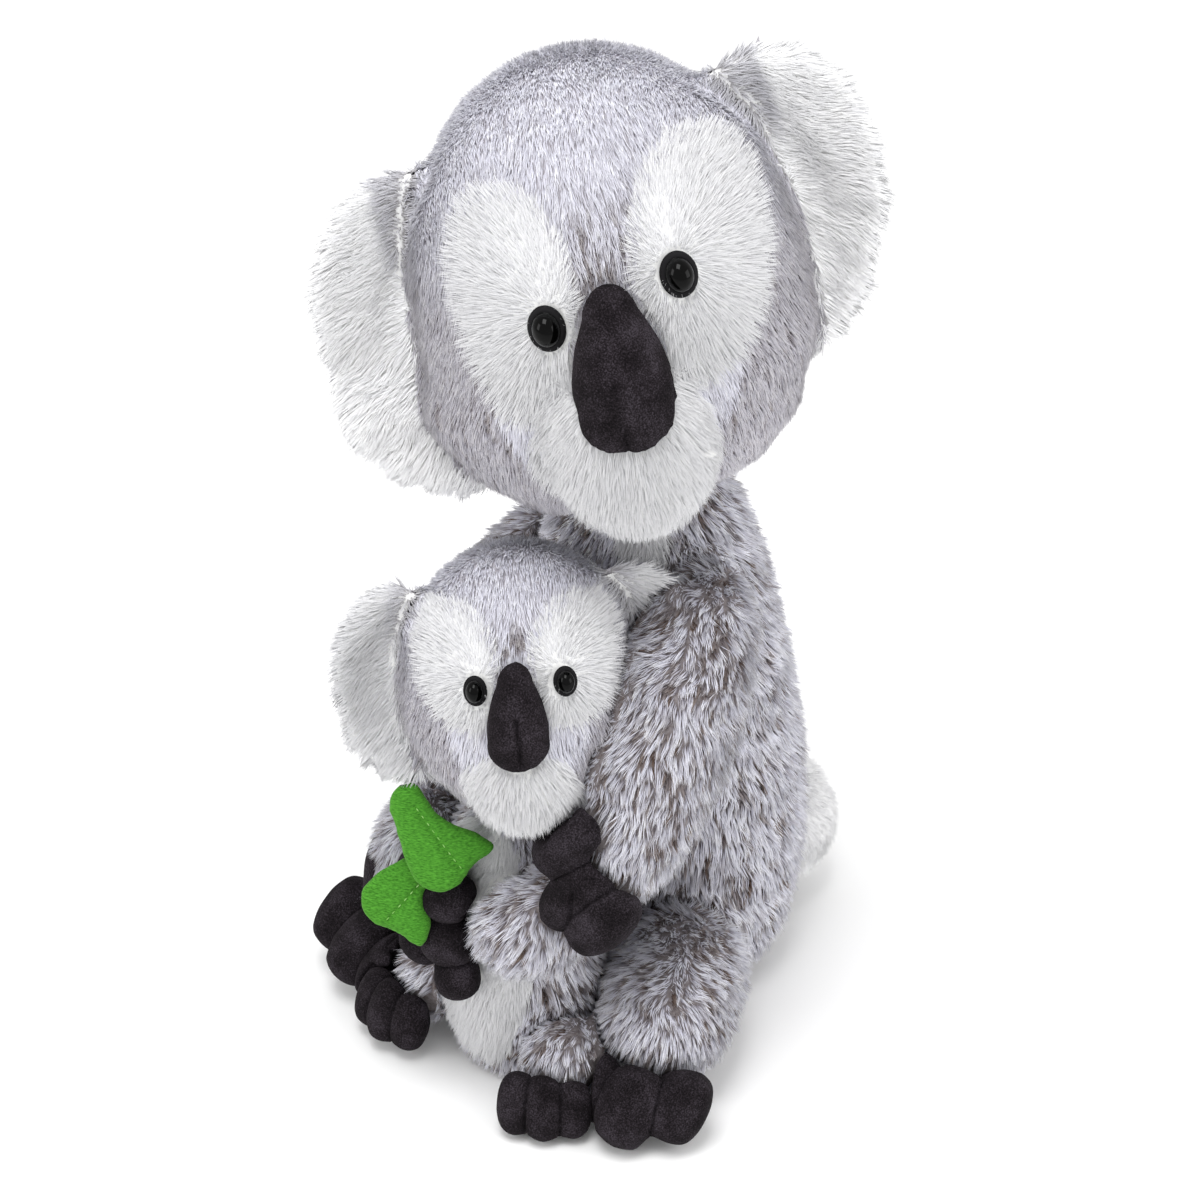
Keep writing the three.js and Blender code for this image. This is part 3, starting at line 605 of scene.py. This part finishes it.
# Whether a limb's joint lets two pieces part, so that the pile between them shows
def opensFrom(name, other):
    bodies = [body_of(nodes[n])[0] for n in (name, other)]
    return bodies[0] != bodies[1] and "head" not in bodies


# A group's surface, drawn in by each piece's own inset
def startSurface(names):
    single = plush[names[0]].get("voxel", stuffing["voxel"])
    voxel = single if len(names) == 1 else stuffing["groupVoxel"]
    surface = remeshed(names[0] + "_surface", withInner(names), voxel, 3 if voxel > 3 else 4)
    mesh = surface.data
    points, normals = coordinates(mesh), vertexNormals(mesh)
    insets = np.array([plush[name]["inset"] * mm for name in names])[labelsOf(names, points, normals)]
    if names[0] in fullCheeks:
        local = headLocal(names[0], points)
        low = smoothStep(-0.1, -0.4, local[:, 2]) * smoothStep(-1.02, -0.85, local[:, 2])
        sides = smoothStep(0.3, 0.6, -local[:, 0]) + leftCheek * smoothStep(0.3, 0.6, local[:, 0])
        insets -= fullCheeks[names[0]] * mm * low * sides * (insets < 1.6 * mm)
    others = [n for n in nodes if n not in withInner(names) + firmNodes + hiddenNodes]
    apart = distancesTo(others, points)
    exposed = fade(contact["held"], apart)
    fixed = [n for n in others if not opensFrom(names[0], n)]
    clear = fade(contact["bare"], distancesTo(fixed, points)) if fixed else 1
    furred = np.maximum(fade(contact["bare"], apart), contact["underLimb"] * clear)
    moved = points - normals * (blurred(mesh, insets, 3) * exposed)[:, None]
    seated = points[:, 2] < contact["seat"] * mm
    moved[:, 2] = np.where(seated, points[:, 2], moved[:, 2])
    moveVertices(mesh, moved)
    lifted = contact["onFloor"] + (1 - contact["onFloor"]) * fade(contact["floor"], points[:, 2])
    store(mesh, "exposed", exposed * lifted)
    store(mesh, "furred", furred * lifted)
    return surface


# Millimetres that a large or small piece's skin stays inside its group's surface, and how near and how well
# turned to it a point of a head is brought out to it
skinFit = {"deep": 0.7, "shallow": 0.15, "reach": 7, "facing": 0.75}


# One piece's own skin: its CAD form, kept inside the group's surface
def startSkin(name, surface):
    settings = plush[name]
    voxel = settings.get("voxel", stuffing["voxel"])
    skin = remeshed(name + "_skin", [name] + settings.get("with", []), voxel)
    tree = meshTree(surface.data)
    isHead = name.endswith("_head")
    depth = skinFit["deep" if isHead or name.endswith("_body") else "shallow"] * mm
    points, facing = coordinates(skin.data), vertexNormals(skin.data)
    for i, point in enumerate(map(Vector, points.tolist())):
        place, normal, _, apart = tree.find_nearest(point)
        outer = isHead and apart < skinFit["reach"] * mm and normal.dot(facing[i]) > skinFit["facing"]
        if outer or (point - place).dot(normal) > -depth:
            points[i] = place - normal * depth
    moveVertices(skin.data, points)
    return skin


def store(mesh, name, values):
    mesh.attributes.new(name, "FLOAT", "POINT").data.foreach_set("value", values.astype(np.float32))


def stored(mesh, name):
    return readOut(mesh.attributes[name].data, "value", 1)[:, 0].astype(float)


surfaces = [startSurface(names) for names in groups]
print("surfaces:", sum(len(s.data.polygons) for s in surfaces), "faces")


def stuff(pieces):
    starts = [coordinates(piece.data) for piece in pieces]
    for piece in pieces:
        cloth = piece.modifiers.new("stuffing", "CLOTH")
        cloth.settings.use_pressure = True
        cloth.settings.uniform_pressure_force = stuffing["pressure"]
        cloth.settings.effector_weights.gravity = 0
        cloth.point_cache.frame_end = stuffing["frames"]
    for step in range(1, stuffing["frames"] + 1):
        scene.frame_set(step)
    for piece, start in zip(pieces, starts):
        swollen = evaluatedMesh(piece)
        shift = coordinates(swollen) - start
        bpy.data.meshes.remove(swollen)
        far = np.linalg.norm(shift, axis=1, keepdims=True)
        shift *= np.minimum(1, stuffing["cap"] * mm / np.maximum(far, 1e-9))
        held = stored(piece.data, "exposed")[:, None]
        piece.modifiers.clear()
        moveVertices(piece.data, start + shift * held)
    scene.frame_set(1)


stuff(surfaces)
print("stuffed:", len(surfaces), "surfaces")
skins = {}
for names, surface in zip(groups, surfaces):
    rounder = surface.modifiers.new("rounder", "SUBSURF")
    rounder.levels = rounder.render_levels = 1
    applied(surface)
    for name in names:
        skins[name] = startSkin(name, surface) if len(names) > 1 else surface
for name, skin in skins.items():
    skin.name = name + "_skin"
    smooth(skin.data)
    look = plush[name]["pile"]["look"]
    # Heads and ear backs get the paler backing: painted light against the shade between their strands
    backing = "pale" if name.endswith(("_head", "_ear_back")) else look
    skin.data.materials.append(materials[backing + "Backing"])
    dress(skin, name)
print("skins:", sum(len(s.data.polygons) for s in skins.values()), "faces")


# Pile: one three-sided strand, copied over the surfaces
def strandShape():
    form = bmesh.new()
    bmesh.ops.create_cone(form, cap_ends=True, segments=3, radius1=0.5, radius2=0, depth=1)
    bmesh.ops.translate(form, verts=form.verts, vec=(0, 0, 0.5))
    bmesh.ops.remove_doubles(form, verts=form.verts, dist=0.001)
    bmesh.ops.triangulate(form, faces=form.faces)
    bmesh.ops.recalc_face_normals(form, faces=form.faces)
    points = np.array([v.co for v in form.verts])
    faces = np.array([[v.index for v in f.verts] for f in form.faces])
    form.free()
    return points, faces


strandPoints, strandFaces = strandShape()


# Each strand's faces lie side by side in one small cell of the map, the cap below the sides
def strandMap():
    corners = []
    for points in strandPoints[strandFaces]:
        cap = points[:, 2].max() < 0.5
        across, along = points.mean(0)[:2]
        strip = 0 if cap else round((math.atan2(along, across) / (2 * math.pi)) * 3) % 3
        low, high = (0.02, 0.08) if cap else (0.12, 0.96)
        tip = 2 if cap else points[:, 2].argmax()
        sides = [i for i in range(3) if i != tip]
        for i in range(3):
            share = 0.5 if i == tip else sides.index(i)
            corners.append(((strip + 0.08 + 0.84 * share) / 3, high if i == tip else low))
    return np.array(corners)


strandCorners = strandMap()
mostTriangles = 199000  # in one piece
mostStrands = mostTriangles // len(strandFaces)


def scatter(mesh, weights, density, chance):
    mesh.calc_loop_triangles()
    triangles = readOut(mesh.loop_triangles, "vertices", 3, np.int32)
    corners = coordinates(mesh)[triangles]
    area = np.linalg.norm(np.cross(corners[:, 1] - corners[:, 0], corners[:, 2] - corners[:, 0]), axis=1) / 2
    likely = area * weights[triangles].mean(1)
    count = int(density * likely.sum() / mm ** 2)
    picked = np.searchsorted(np.cumsum(likely) / likely.sum(), chance.random(count))
    first, second = np.sqrt(chance.random(count)), chance.random(count)
    shares = np.stack([1 - first, first * (1 - second), first * second], 1)
    return triangles[np.minimum(picked, len(triangles) - 1)], shares


def spread(values, triangles, shares):
    if values.ndim == 1:
        return (values[triangles] * shares).sum(1)
    return (values[triangles] * shares[..., None]).sum(1)


# Common to all pile, as shares; then the greatest lean in degrees; then in millimetres how deep a root sits,
# the room it needs below firm pieces, and how far its tip stays above them and above the floor
strand = {"stray": 0.12, "lengths": (0.7, 1.12), "pressed": 0.35, "flecked": 0.45, "tint": (0.5, 0.16, 0.22),
          "flattest": 84, "sunk": 0.4, "clear": 1.2, "above": 0.5, "lowest": 0.4}
# Half length and half width of a fleck, in millimetres, and its strength
fleckForm = {"long": (1.5, 4.5), "wide": (0.5, 1.1), "strength": (0.55, 1)}
# Shares of the skin's slope, the strand's direction and its round sides in its shading
shading = {"skin": 0.8, "along": 0.25, "round": 2}


def clumpTips(roots, tips, spreadArea, size, pull, chance):
    count = max(1, int(spreadArea / (size * size)))
    centres = chance.choice(len(roots), count, replace=False)
    tree = pointTree(roots[centres])
    found = [tree.find(point)[1:] for point in roots.tolist()]
    owner, apart = np.array([f[0] for f in found]), np.array([f[1] for f in found])
    edge = smoothStep(0.45, 0.95, apart / (size * mm))
    tips = tips + (tips[centres][owner] - tips) * (pull * chance.uniform(0.6, 1.2, (len(tips), 1)))
    return tips, edge, chance.standard_normal(count)[owner]


def markFlecks(roots, directions, share, likely, chance):
    marks = np.zeros(len(roots))
    if not share:
        return marks
    tree = pointTree(roots)
    count = int(share * likely.sum())
    for centre in chance.choice(len(roots), count, replace=False, p=likely / likely.sum()):
        long, wide = chance.uniform(*fleckForm["long"]) * mm, chance.uniform(*fleckForm["wide"]) * mm
        found = np.array([i for _, i, _ in tree.find_range(roots[centre], long)])
        offset = roots[found] - roots[centre]
        along = offset @ directions[centre]
        across = np.linalg.norm(offset - along[:, None] * directions[centre], axis=1)
        inside = (along / long) ** 2 + (across / wide) ** 2 < 1
        marks[found[inside]] = np.maximum(marks[found[inside]], chance.uniform(*fleckForm["strength"]))
    return marks


# A slow wandering of the pile's direction, as handled plush has, with waves of 9 to 30 mm
def swirl(points):
    turned = np.zeros(points.shape)
    for wave, weight, phase in ((30, 0.6, 0.4), (17, 0.7, 2.1), (9, 0.7, 4.4)):
        steps = points / (wave * mm) * 2 * math.pi
        turned += weight * np.sin(steps[:, [1, 2, 0]] + 1.7 * np.sin(steps[:, [2, 0, 1]] * 0.8 + phase))
    return turned


def growPiles(names, surface, chance):
    mesh = surface.data
    labels = labelsOf(names, coordinates(mesh), vertexNormals(mesh))
    densities = np.array([plush[name]["pile"]["density"] for name in names])
    weights = stored(mesh, "furred") * densities[labels] / densities.max()
    triangles, shares = scatter(mesh, weights, densities.max(), chance)
    roots = spread(coordinates(mesh), triangles, shares)
    normals = unit(spread(vertexNormals(mesh), triangles, shares))
    exposed = spread(stored(mesh, "exposed"), triangles, shares)
    owner = labels[triangles[np.arange(len(triangles)), shares.argmax(1)]]
    return sum(growPile(name, roots[owner == i], normals[owner == i], exposed[owner == i], chance)
               for i, name in enumerate(names))


def growPile(name, roots, normals, exposed, chance):
    settings = plush[name]
    pile = settings["pile"]
    above = (settings["inset"] + strand["clear"]) * mm
    free = np.array([firmTree.ray_cast(Vector(root), Vector(normal), above)[0] is None
                     for root, normal in zip(roots.tolist(), normals.tolist())])
    roots, normals, exposed = roots[free], normals[free], exposed[free]
    count = len(roots)
    likely, pales, lowPaintedShade = np.ones(count), np.full(count, float(pile["pale"])), np.zeros(count)
    if name.endswith("_head"):
        likely, pales, lowPaintedShade = headShades(name, roots)
    wanted = settings["lay"](roots)
    tangents = wanted - (wanted * normals).sum(1, keepdims=True) * normals
    strays = strand["stray"] * chance.standard_normal((count, 3))
    tangents = unit(tangents + strays + pile["wander"] * swirl(roots))
    tangents = unit(tangents - (tangents * normals).sum(1, keepdims=True) * normals)
    lean = pile["lean"] + pile["spread"] * chance.standard_normal(count)
    lean = np.radians(np.minimum(lean, strand["flattest"]))[:, None]
    upright = strand["pressed"] + (1 - strand["pressed"]) * exposed
    lengths = pile["length"] * mm * chance.uniform(*strand["lengths"], count) * upright
    flecks = markFlecks(roots, tangents, pile["flecks"], likely, chance)
    lengths *= 1 - strand["flecked"] * flecks
    directions = unit(normals * np.cos(lean) + tangents * np.sin(lean))
    tips = roots + directions * lengths[:, None]
    tips, edge, tuft = clumpTips(roots, tips, count / pile["density"], pile["clump"], pile["pull"], chance)
    flecks = np.maximum(flecks, pile["gaps"] * edge * chance.uniform(0.4, 1, count))
    if "ear_lining" in name:
        grey = greyOfEar(name, roots)
        flecks, pales = np.maximum(flecks, 0.6 * grey), pales * (1 - grey)
    # On heads, the lower head's painted shade darkens the strands at least this much
    flecks = np.maximum(flecks * (0.7 if name.endswith("_head") else 1), lowPaintedShade)
    tips = clearFirm(tips)
    tips[:, 2] = np.maximum(tips[:, 2], strand["lowest"] * mm)
    middle, single, tufted = strand["tint"]
    tints = np.clip(middle + single * chance.standard_normal(count) + tufted * tuft, 0, 1)
    parts = max(1, math.ceil(count / mostStrands))
    order = np.argsort((roots - roots.mean(0)) @ np.array((0.3, 1, 0.2)))
    for part, chosen in enumerate(np.array_split(order, parts)):
        pieceName = f"{name}_pile" + (f"_{part + 1}" if parts > 1 else "")
        grown = [values[chosen] for values in (roots, normals, tips, tints, flecks, pales)]
        piece = strandPiece(pieceName, pile["look"], pile["width"] * mm, *grown)
        dress(piece, name)
    return count


# The grey back of an ear comes round to its front, in a wedge between the lining and the upper head.
# Each row: the wedge's foot and top as heights on the head, and its width at the top
greyWedges = {
    "mother_left_ear_lining": (0.3, 0.95, 17), "mother_right_ear_lining": (0.05, 0.7, 12),
    "baby_left_ear_lining": (0.1, 0.8, 6), "baby_right_ear_lining": (0.1, 0.8, 7),
}


def greyOfEar(name, points):
    foot, top, width = greyWedges[name]
    height = headLocal(name, points)[:, 2]
    reach = width * mm * np.clip((height - foot) / (top - foot), 0, 1)
    apart = distancesTo([name.split("_")[0] + "_head"], points)
    return fade((-1.5, 1.5), reach - apart) * (height > foot)


# The crown is paler than the cheeks: painted light from above, and the lower head is mixed towards the dark
# strands: painted shade. The wedge between the eye patches has brown strokes, and beside the nose the white
# of the patches runs into the white of the muzzle. The crown's painted light and the low painted shade are
# shares;
# white and wedge are widths in millimetres.
faceShades = {
    "mother": {"crownPaintedLight": 0.95, "lowPaintedShade": 0.3, "white": 15, "wedge": 24},
    "baby": {"crownPaintedLight": 0.8, "lowPaintedShade": 0.3, "white": 13, "wedge": 14},
}


def headShades(name, points):
    prefix = name.split("_")[0]
    shades = faceShades[prefix]
    local = headLocal(name, points)
    # Painted light: strands grow paler towards the head's top; painted shade: lower down they are mixed
    # towards the dark strands
    high = smoothStep(-0.35, 0.6, local[:, 2] - 0.35 * abs(local[:, 0]))
    pales = shades["crownPaintedLight"] * high
    likely = 0.12 + 0.9 * smoothStep(0.15, -0.5, local[:, 2])
    toMuzzle = distancesTo([prefix + "_muzzle"], points)
    toPatches = np.array([distancesTo([f"{prefix}_{side}_eye_patch"], points)
                          for side in ("left", "right")])
    wedge = fade((shades["wedge"], 0.6 * shades["wedge"]), toPatches.sum(0))
    pales, likely = pales * (1 - wedge), likely + 2 * wedge
    white = fade((shades["white"], shades["white"] - 3), toMuzzle + toPatches.min(0))
    return likely * (1 - white), np.maximum(pales, white), shades["lowPaintedShade"] * (1 - high) * (1 - white)


# Tips that would end inside suede, an eye or a leaf lie on its surface instead
def clearFirm(tips):
    for i, tip in enumerate(tips.tolist()):
        place, normal = firmTree.find_nearest(tip, 9 * mm)[:2]
        if place is not None and (Vector(tip) - place).dot(normal) < 0.3 * mm:
            tips[i] = place + normal * strand["above"] * mm
    return tips


def strandPiece(name, look, width, roots, normals, tips, tints, flecks, pales):
    count, corners = len(roots), len(strandPoints)
    axis = tips - roots
    sideways = unit(np.cross(axis, normals))
    upwards = unit(np.cross(axis, sideways))
    height = strandPoints[:, 2]
    starts = roots - normals * strand["sunk"] * mm
    radial = sideways[:, None] * strandPoints[None, :, :1] + upwards[:, None] * strandPoints[None, :, 1:2]
    points = starts[:, None] + (tips - starts)[:, None] * height[None, :, None] + width * radial
    faces = (strandFaces[None] + (np.arange(count) * corners)[:, None, None]).reshape(-1, 3)
    mesh = bpy.data.meshes.new(name)
    mesh.vertices.add(count * corners)
    mesh.vertices.foreach_set("co", points.astype(np.float32).ravel())
    mesh.loops.add(faces.size)
    mesh.loops.foreach_set("vertex_index", faces.astype(np.int32).ravel())
    mesh.polygons.add(len(faces))
    mesh.polygons.foreach_set("loop_start", np.arange(0, faces.size, 3, dtype=np.int32))
    mesh.update(calc_edges=True)
    smooth(mesh)
    store(mesh, "pileHeight", np.tile(height, count))
    for part, values in (("Tint", tints), ("Fleck", flecks), ("Pale", pales)):
        store(mesh, "pile" + part, np.repeat(values, corners))
    columns = math.ceil(math.sqrt(count))
    cells = np.stack([np.arange(count) % columns, np.arange(count) // columns], 1)
    places = (cells[:, None] + strandCorners[None]) / columns
    mesh.uv_layers.new(name="OFBake").data.foreach_set("uv", places.astype(np.float32).ravel())
    bend = unit(shading["skin"] * np.repeat(normals, corners, 0)
                + shading["along"] * np.repeat(unit(axis), corners, 0)
                + shading["round"] * radial.reshape(-1, 3))
    mesh.normals_split_custom_set_from_vertices(bend.astype(np.float32))
    return newPiece(name, mesh, look)


chance = np.random.default_rng(7)
strands = sum(growPiles(names, surface, chance) for names, surface in zip(groups, surfaces))
for names, surface in zip(groups, surfaces):
    if len(names) > 1:
        bpy.data.objects.remove(surface)
print("pile:", strands, "strands")

# Suede hands, feet and noses, and the leaves: the CAD forms made round, with their sewn channels drawn in
suedeForm = {"voxel": 0.9, "relax": 22, "swell": 0.5, "channel": 1.2, "channelWidth": 0.6}
leafForm = {"voxel": 0.6, "relax": 40, "swell": 1.1, "channel": 0.8, "channelWidth": 0.9}
bagForm = {"voxel": 2.5, "relax": 6, "swell": 0, "channel": 0, "channelWidth": 0.8}


def creasedPiece(name, look, form):
    piece = remeshed(name + "_cover", [name], form["voxel"], form["relax"])
    mesh = piece.data
    moveVertices(mesh, coordinates(mesh) + vertexNormals(mesh) * form["swell"] * mm)
    if name in noseDrops:
        moveVertices(mesh, shapedNose(name, coordinates(mesh)))
    seams = leafVein(piece) if name.startswith("leaf") else sewnPoints(name)
    if form["channel"] and len(seams):
        points, normals = coordinates(mesh), vertexNormals(mesh)
        seam = np.exp(-(alongSkin(seams, points, normals) / (form["channelWidth"] * mm)) ** 2)
        moveVertices(mesh, points - normals * (form["channel"] * mm * seam)[:, None])
        # Painted shade along the channels, which the suede's colour reads
        store(mesh, "seamPaintedShade", 0.6 * seam)
    smooth(mesh)
    mesh.materials.append(materials[look])
    dress(piece, name)
    return piece


# A leaf's corners are blunt, and one sewn vein runs along its middle. Blunt, squeeze and span are shares of
# the leaf's half length; the vein's channel runs past the stitches; those are in millimetres.
leafShape = {"blunt": 0.7, "squeeze": 0.4, "span": 0.55, "channel": 1.3, "stitches": 9, "stitchLength": 1.3,
             "stitchWidth": 0.34}


def leafAxes(points):
    middle = (points.min(0) + points.max(0)) / 2
    axes = np.linalg.svd(points - points.mean(0), full_matrices=False)[2]
    return middle, axes[0], axes[2] * (1 if axes[2][1] < 0 else -1)


def leafVein(piece):
    points = coordinates(piece.data)
    middle, along, front = leafAxes(points)
    flat = (points - middle) - np.outer((points - middle) @ front, front)
    reach = np.linalg.norm(flat, axis=1)
    limit = leafShape["blunt"] * reach.max()
    shorter = np.where(reach > limit, limit + (reach - limit) * leafShape["squeeze"], reach)
    points += flat * (shorter / np.maximum(reach, 1e-6) - 1)[:, None]
    moveVertices(piece.data, points)
    tree = meshTree(piece.data)
    half = leafShape["span"] * limit * leafShape["channel"]
    vein = []
    for step in np.linspace(-half, half, 60):
        start = Vector(middle + along * step)
        for face in (front, -front):
            place = tree.ray_cast(start + Vector(face) * 12 * mm, Vector(-face))[0]
            if place is not None:
                vein.append(np.array(place))
    return np.array(vein)


def leafStitches(name, piece):
    points = coordinates(piece.data)
    middle, along, front = leafAxes(points)
    tree = meshTree(piece.data)
    half = leafShape["span"] * np.linalg.norm(points - middle, axis=1).max()
    form = bmesh.new()
    for step in np.linspace(-half, half, leafShape["stitches"]):
        place, normal = tree.ray_cast(Vector(middle + along * step + front * 12 * mm), Vector(-front))[:2]
        if place is None:
            continue
        stitch = bmesh.ops.create_icosphere(form, subdivisions=1, radius=mm / 2)["verts"]
        bmesh.ops.scale(form, verts=stitch, vec=(leafShape["stitchLength"], leafShape["stitchWidth"],
                                                  leafShape["stitchWidth"]))
        turn = Vector((1, 0, 0)).rotation_difference(Vector(along)).to_matrix()
        bmesh.ops.rotate(form, verts=stitch, matrix=turn)
        bmesh.ops.translate(form, verts=stitch, vec=place + normal * 0.1 * mm)
    mesh = toMesh(form, name + "_stitches")
    dress(newPiece(mesh.name, mesh, "thread"), name)


# The noses are narrow at the top, widest low down and blunt at the bottom. Each row: height on the nose, -1
# to 1, and the width's factor there
noseWidths = ((-1, 1.38), (-0.8, 1.26), (-0.42, 1.04), (0.1, 0.92), (0.6, 0.82), (0.95, 1.04), (1, 1.14))
noseDrops = {"mother_nose": 2.4, "baby_nose": 0.6}  # mm that the bottom reaches lower


def shapedNose(name, points):
    left, _, up = heads[name.split("_")[0]]["axes"]
    middle = (points.min(0) + points.max(0)) / 2
    across, high = (points - middle) @ left, (points - middle) @ up
    share = high / abs(high).max()
    widths = np.interp(share, *zip(*noseWidths))
    drop = noseDrops[name] * mm * smoothStep(0.2, -1, share)
    return points + np.outer(across * (widths - 1), left) - np.outer(drop, up)


# Points every half millimetre along the inward creases of a CAD form, where its lobes are sewn together
def sewnPoints(name):
    form = joinedSurface([name])
    points = []
    for edge in form.edges:
        if len(edge.link_faces) == 2 and not edge.is_convex and edge.calc_face_angle(0) > math.radians(24):
            ends = [np.array(v.co) for v in edge.verts]
            steps = max(1, int(edge.calc_length() / (0.5 * mm)))
            points += [ends[0] + (ends[1] - ends[0]) * i / steps for i in range(steps + 1)]
    form.free()
    if name == "baby_nose":
        points += noseSeam(name)
    return np.array(points)


def noseSeam(name):
    _, back, up = heads["baby"]["axes"]
    middle, tree = middleOf(name), surfaceTree([name])
    places = [tree.ray_cast(Vector(middle - back * 25 * mm + up * step * mm), Vector(back))[0]
              for step in np.arange(-13, 1, 0.5)]
    return [np.array(place) for place in places if place is not None]


# How far each point of a skin is from the nearest seam, measured along the skin
def alongSkin(seams, points, normals):
    tree = pointTree(seams)
    apart = np.full(len(points), 1.0)
    for i, (point, normal) in enumerate(zip(points.tolist(), normals)):
        for place, _, _ in tree.find_n(point, 6):
            step = np.array(place) - point
            if step @ step < (5 * mm) ** 2:
                apart[i] = min(apart[i], np.linalg.norm(step - (step @ normal) * normal))
    return apart


for name in suedeNodes:
    creasedPiece(name, "suede", suedeForm)
for name in ("leaf_upper", "leaf_lower"):
    leafStitches(name, creasedPiece(name, "leaf", leafForm))
creasedPiece("mother_seat_bag", "calico", bagForm)
for name in nodes:
    if name.endswith("_washer"):
        nodes[name].material_slots[0].material = materials["nylon"]
print("suede and leaves made")

# Safety eyes: a spun dome with a rolled rim, and its shank. Millimetres.
eyes = {
    "mother": {"width": 10.4, "height": 12.8, "dome": 5.2, "rim": 0.9, "shank": 4, "reach": 13},
    "baby": {"width": 6.8, "height": 8.8, "dome": 3.6, "rim": 0.6, "shank": 3, "reach": 10.5},
}


def eyePiece(node):
    size = {key: value * mm for key, value in eyes[node.split("_")[0]].items()}
    half, rim, dome = size["width"] / 2, size["rim"], size["dome"]
    lens = 0.76 * half
    profile = [(0, size["reach"]), (size["shank"] / 2, size["reach"]), (size["shank"] / 2, rim),
               (half - rim, rim), (half, 0.3 * rim), (half, -0.3 * rim), (half - 0.5 * rim, -rim),
               (lens, -1.5 * rim)]
    for step in range(9):
        turn = math.pi / 2 * step / 8
        profile.append((0.98 * lens * math.cos(turn), -1.4 * rim - (dome - 1.4 * rim) * math.sin(turn)))
    form = bmesh.new()
    verts = [form.verts.new((x, y, 0)) for x, y in profile]
    edges = [form.edges.new(pair) for pair in zip(verts, verts[1:])]
    bmesh.ops.spin(form, geom=verts + edges, cent=(0, 0, 0), axis=(0, 1, 0), angle=2 * math.pi, steps=40,
                   use_merge=True, use_duplicate=False)
    bmesh.ops.remove_doubles(form, verts=form.verts, dist=0.002 * mm)
    bmesh.ops.recalc_face_normals(form, faces=form.faces)
    bmesh.ops.scale(form, verts=[v for v in form.verts if v.co.y < 1.01 * rim],
                    vec=(1, 1, size["height"] / size["width"]))
    for face in form.faces:
        face.material_index = int(face.calc_center_median().y > -1.45 * rim)
    mesh = toMesh(form, node + "_dome")
    mesh.transform(eyeSocket(node))
    smooth(mesh)
    dress(newPiece(mesh.name, mesh, "eye", "eyeRim"), node)


# Where each eye sits on its head, in shares of the head's half width and half height
eyePlaces = {
    "mother_left_eye": (0.39, 0.1), "mother_right_eye": (-0.31, 0.01),
    "baby_left_eye": (0.39, 0.2), "baby_right_eye": (-0.34, 0.19),
}


# An eye sits a little in the head's skin, and looks halfway between the skin's slope and straight ahead
def eyeSocket(node):
    head, place = heads[node.split("_")[0]], eyePlaces[node]
    half = head["half"]
    x, z = place[0] * half[0], place[1] * half[2]
    reach = half[1] * math.sqrt(1 - place[0] ** 2 - place[1] ** 2)
    slope = Vector((x / half[0] ** 2, -reach / half[1] ** 2, z / half[2] ** 2)).normalized()
    front = Vector((0, -1, 0))
    gaze = front.rotation_difference((slope + front).normalized()).to_matrix().to_4x4()
    onHead = Matrix(head["axes"].T.tolist()).to_4x4()
    onHead.translation = head["place"]
    return onHead @ Matrix.Translation((x, -reach - 0.6 * mm, z)) @ gaze


for name in eyeNodes:
    eyePiece(name)
print("eyes made")

# Floor and light: lamps in watts, lengths in metres
studio = {"floor": 6, "world": 0.9}
softboxes = {
    "side": {"place": (1.3, 0.5, 0.6), "target": (0, 0, 0.15), "size": (0.8, 0.8), "power": 6},
    "key": {"place": (0.2, -0.45, 1.45), "target": (0, -0.02, 0.12), "size": (0.6, 0.75), "power": 12},
    "fill": {"place": (-0.5, -1.3, 0.7), "target": (0, -0.02, 0.15), "size": (0.5, 0.8), "power": 5},
}
floorForm = bmesh.new()
bmesh.ops.create_circle(floorForm, cap_ends=True, segments=96, radius=studio["floor"])
materials["floor"], tree, shader = startMaterial("painted studio floor", Roughness=0.95)
addTone(tree, shader, addNoise(tree, 3), [(0, "#f5f5f5"), (1, "#f8f8f8")])
newPiece("floor", toMesh(floorForm, "floor"), "floor")

scene.world = bpy.data.worlds.new("studio")
scene.world.use_nodes = True
tree = scene.world.node_tree
path, background = addNode(tree, "LightPath"), tree.nodes["Background"]
seen = addNode(tree, "Math", {"operation": "MAXIMUM"},
               {0: path.outputs["Is Camera Ray"], 1: path.outputs["Is Transmission Ray"]})
strength = addNode(tree, "MapRange",
                   inputs={"Value": seen.outputs[0], "To Min": studio["world"], "To Max": 1})
tree.links.new(strength.outputs["Result"], background.inputs["Strength"])
background.inputs["Color"].default_value = (1, 1, 1, 1)
for name, box in softboxes.items():
    lamp = bpy.data.lights.new(name + " softbox", "AREA")
    lamp.shape, lamp.energy = "RECTANGLE", box["power"]
    lamp.size, lamp.size_y = box["size"]
    softbox = linkTo(bpy.data.objects.new(name + " softbox", lamp))
    softbox.location = box["place"]
    turnTo(softbox, Vector(box["target"]) - Vector(box["place"]))
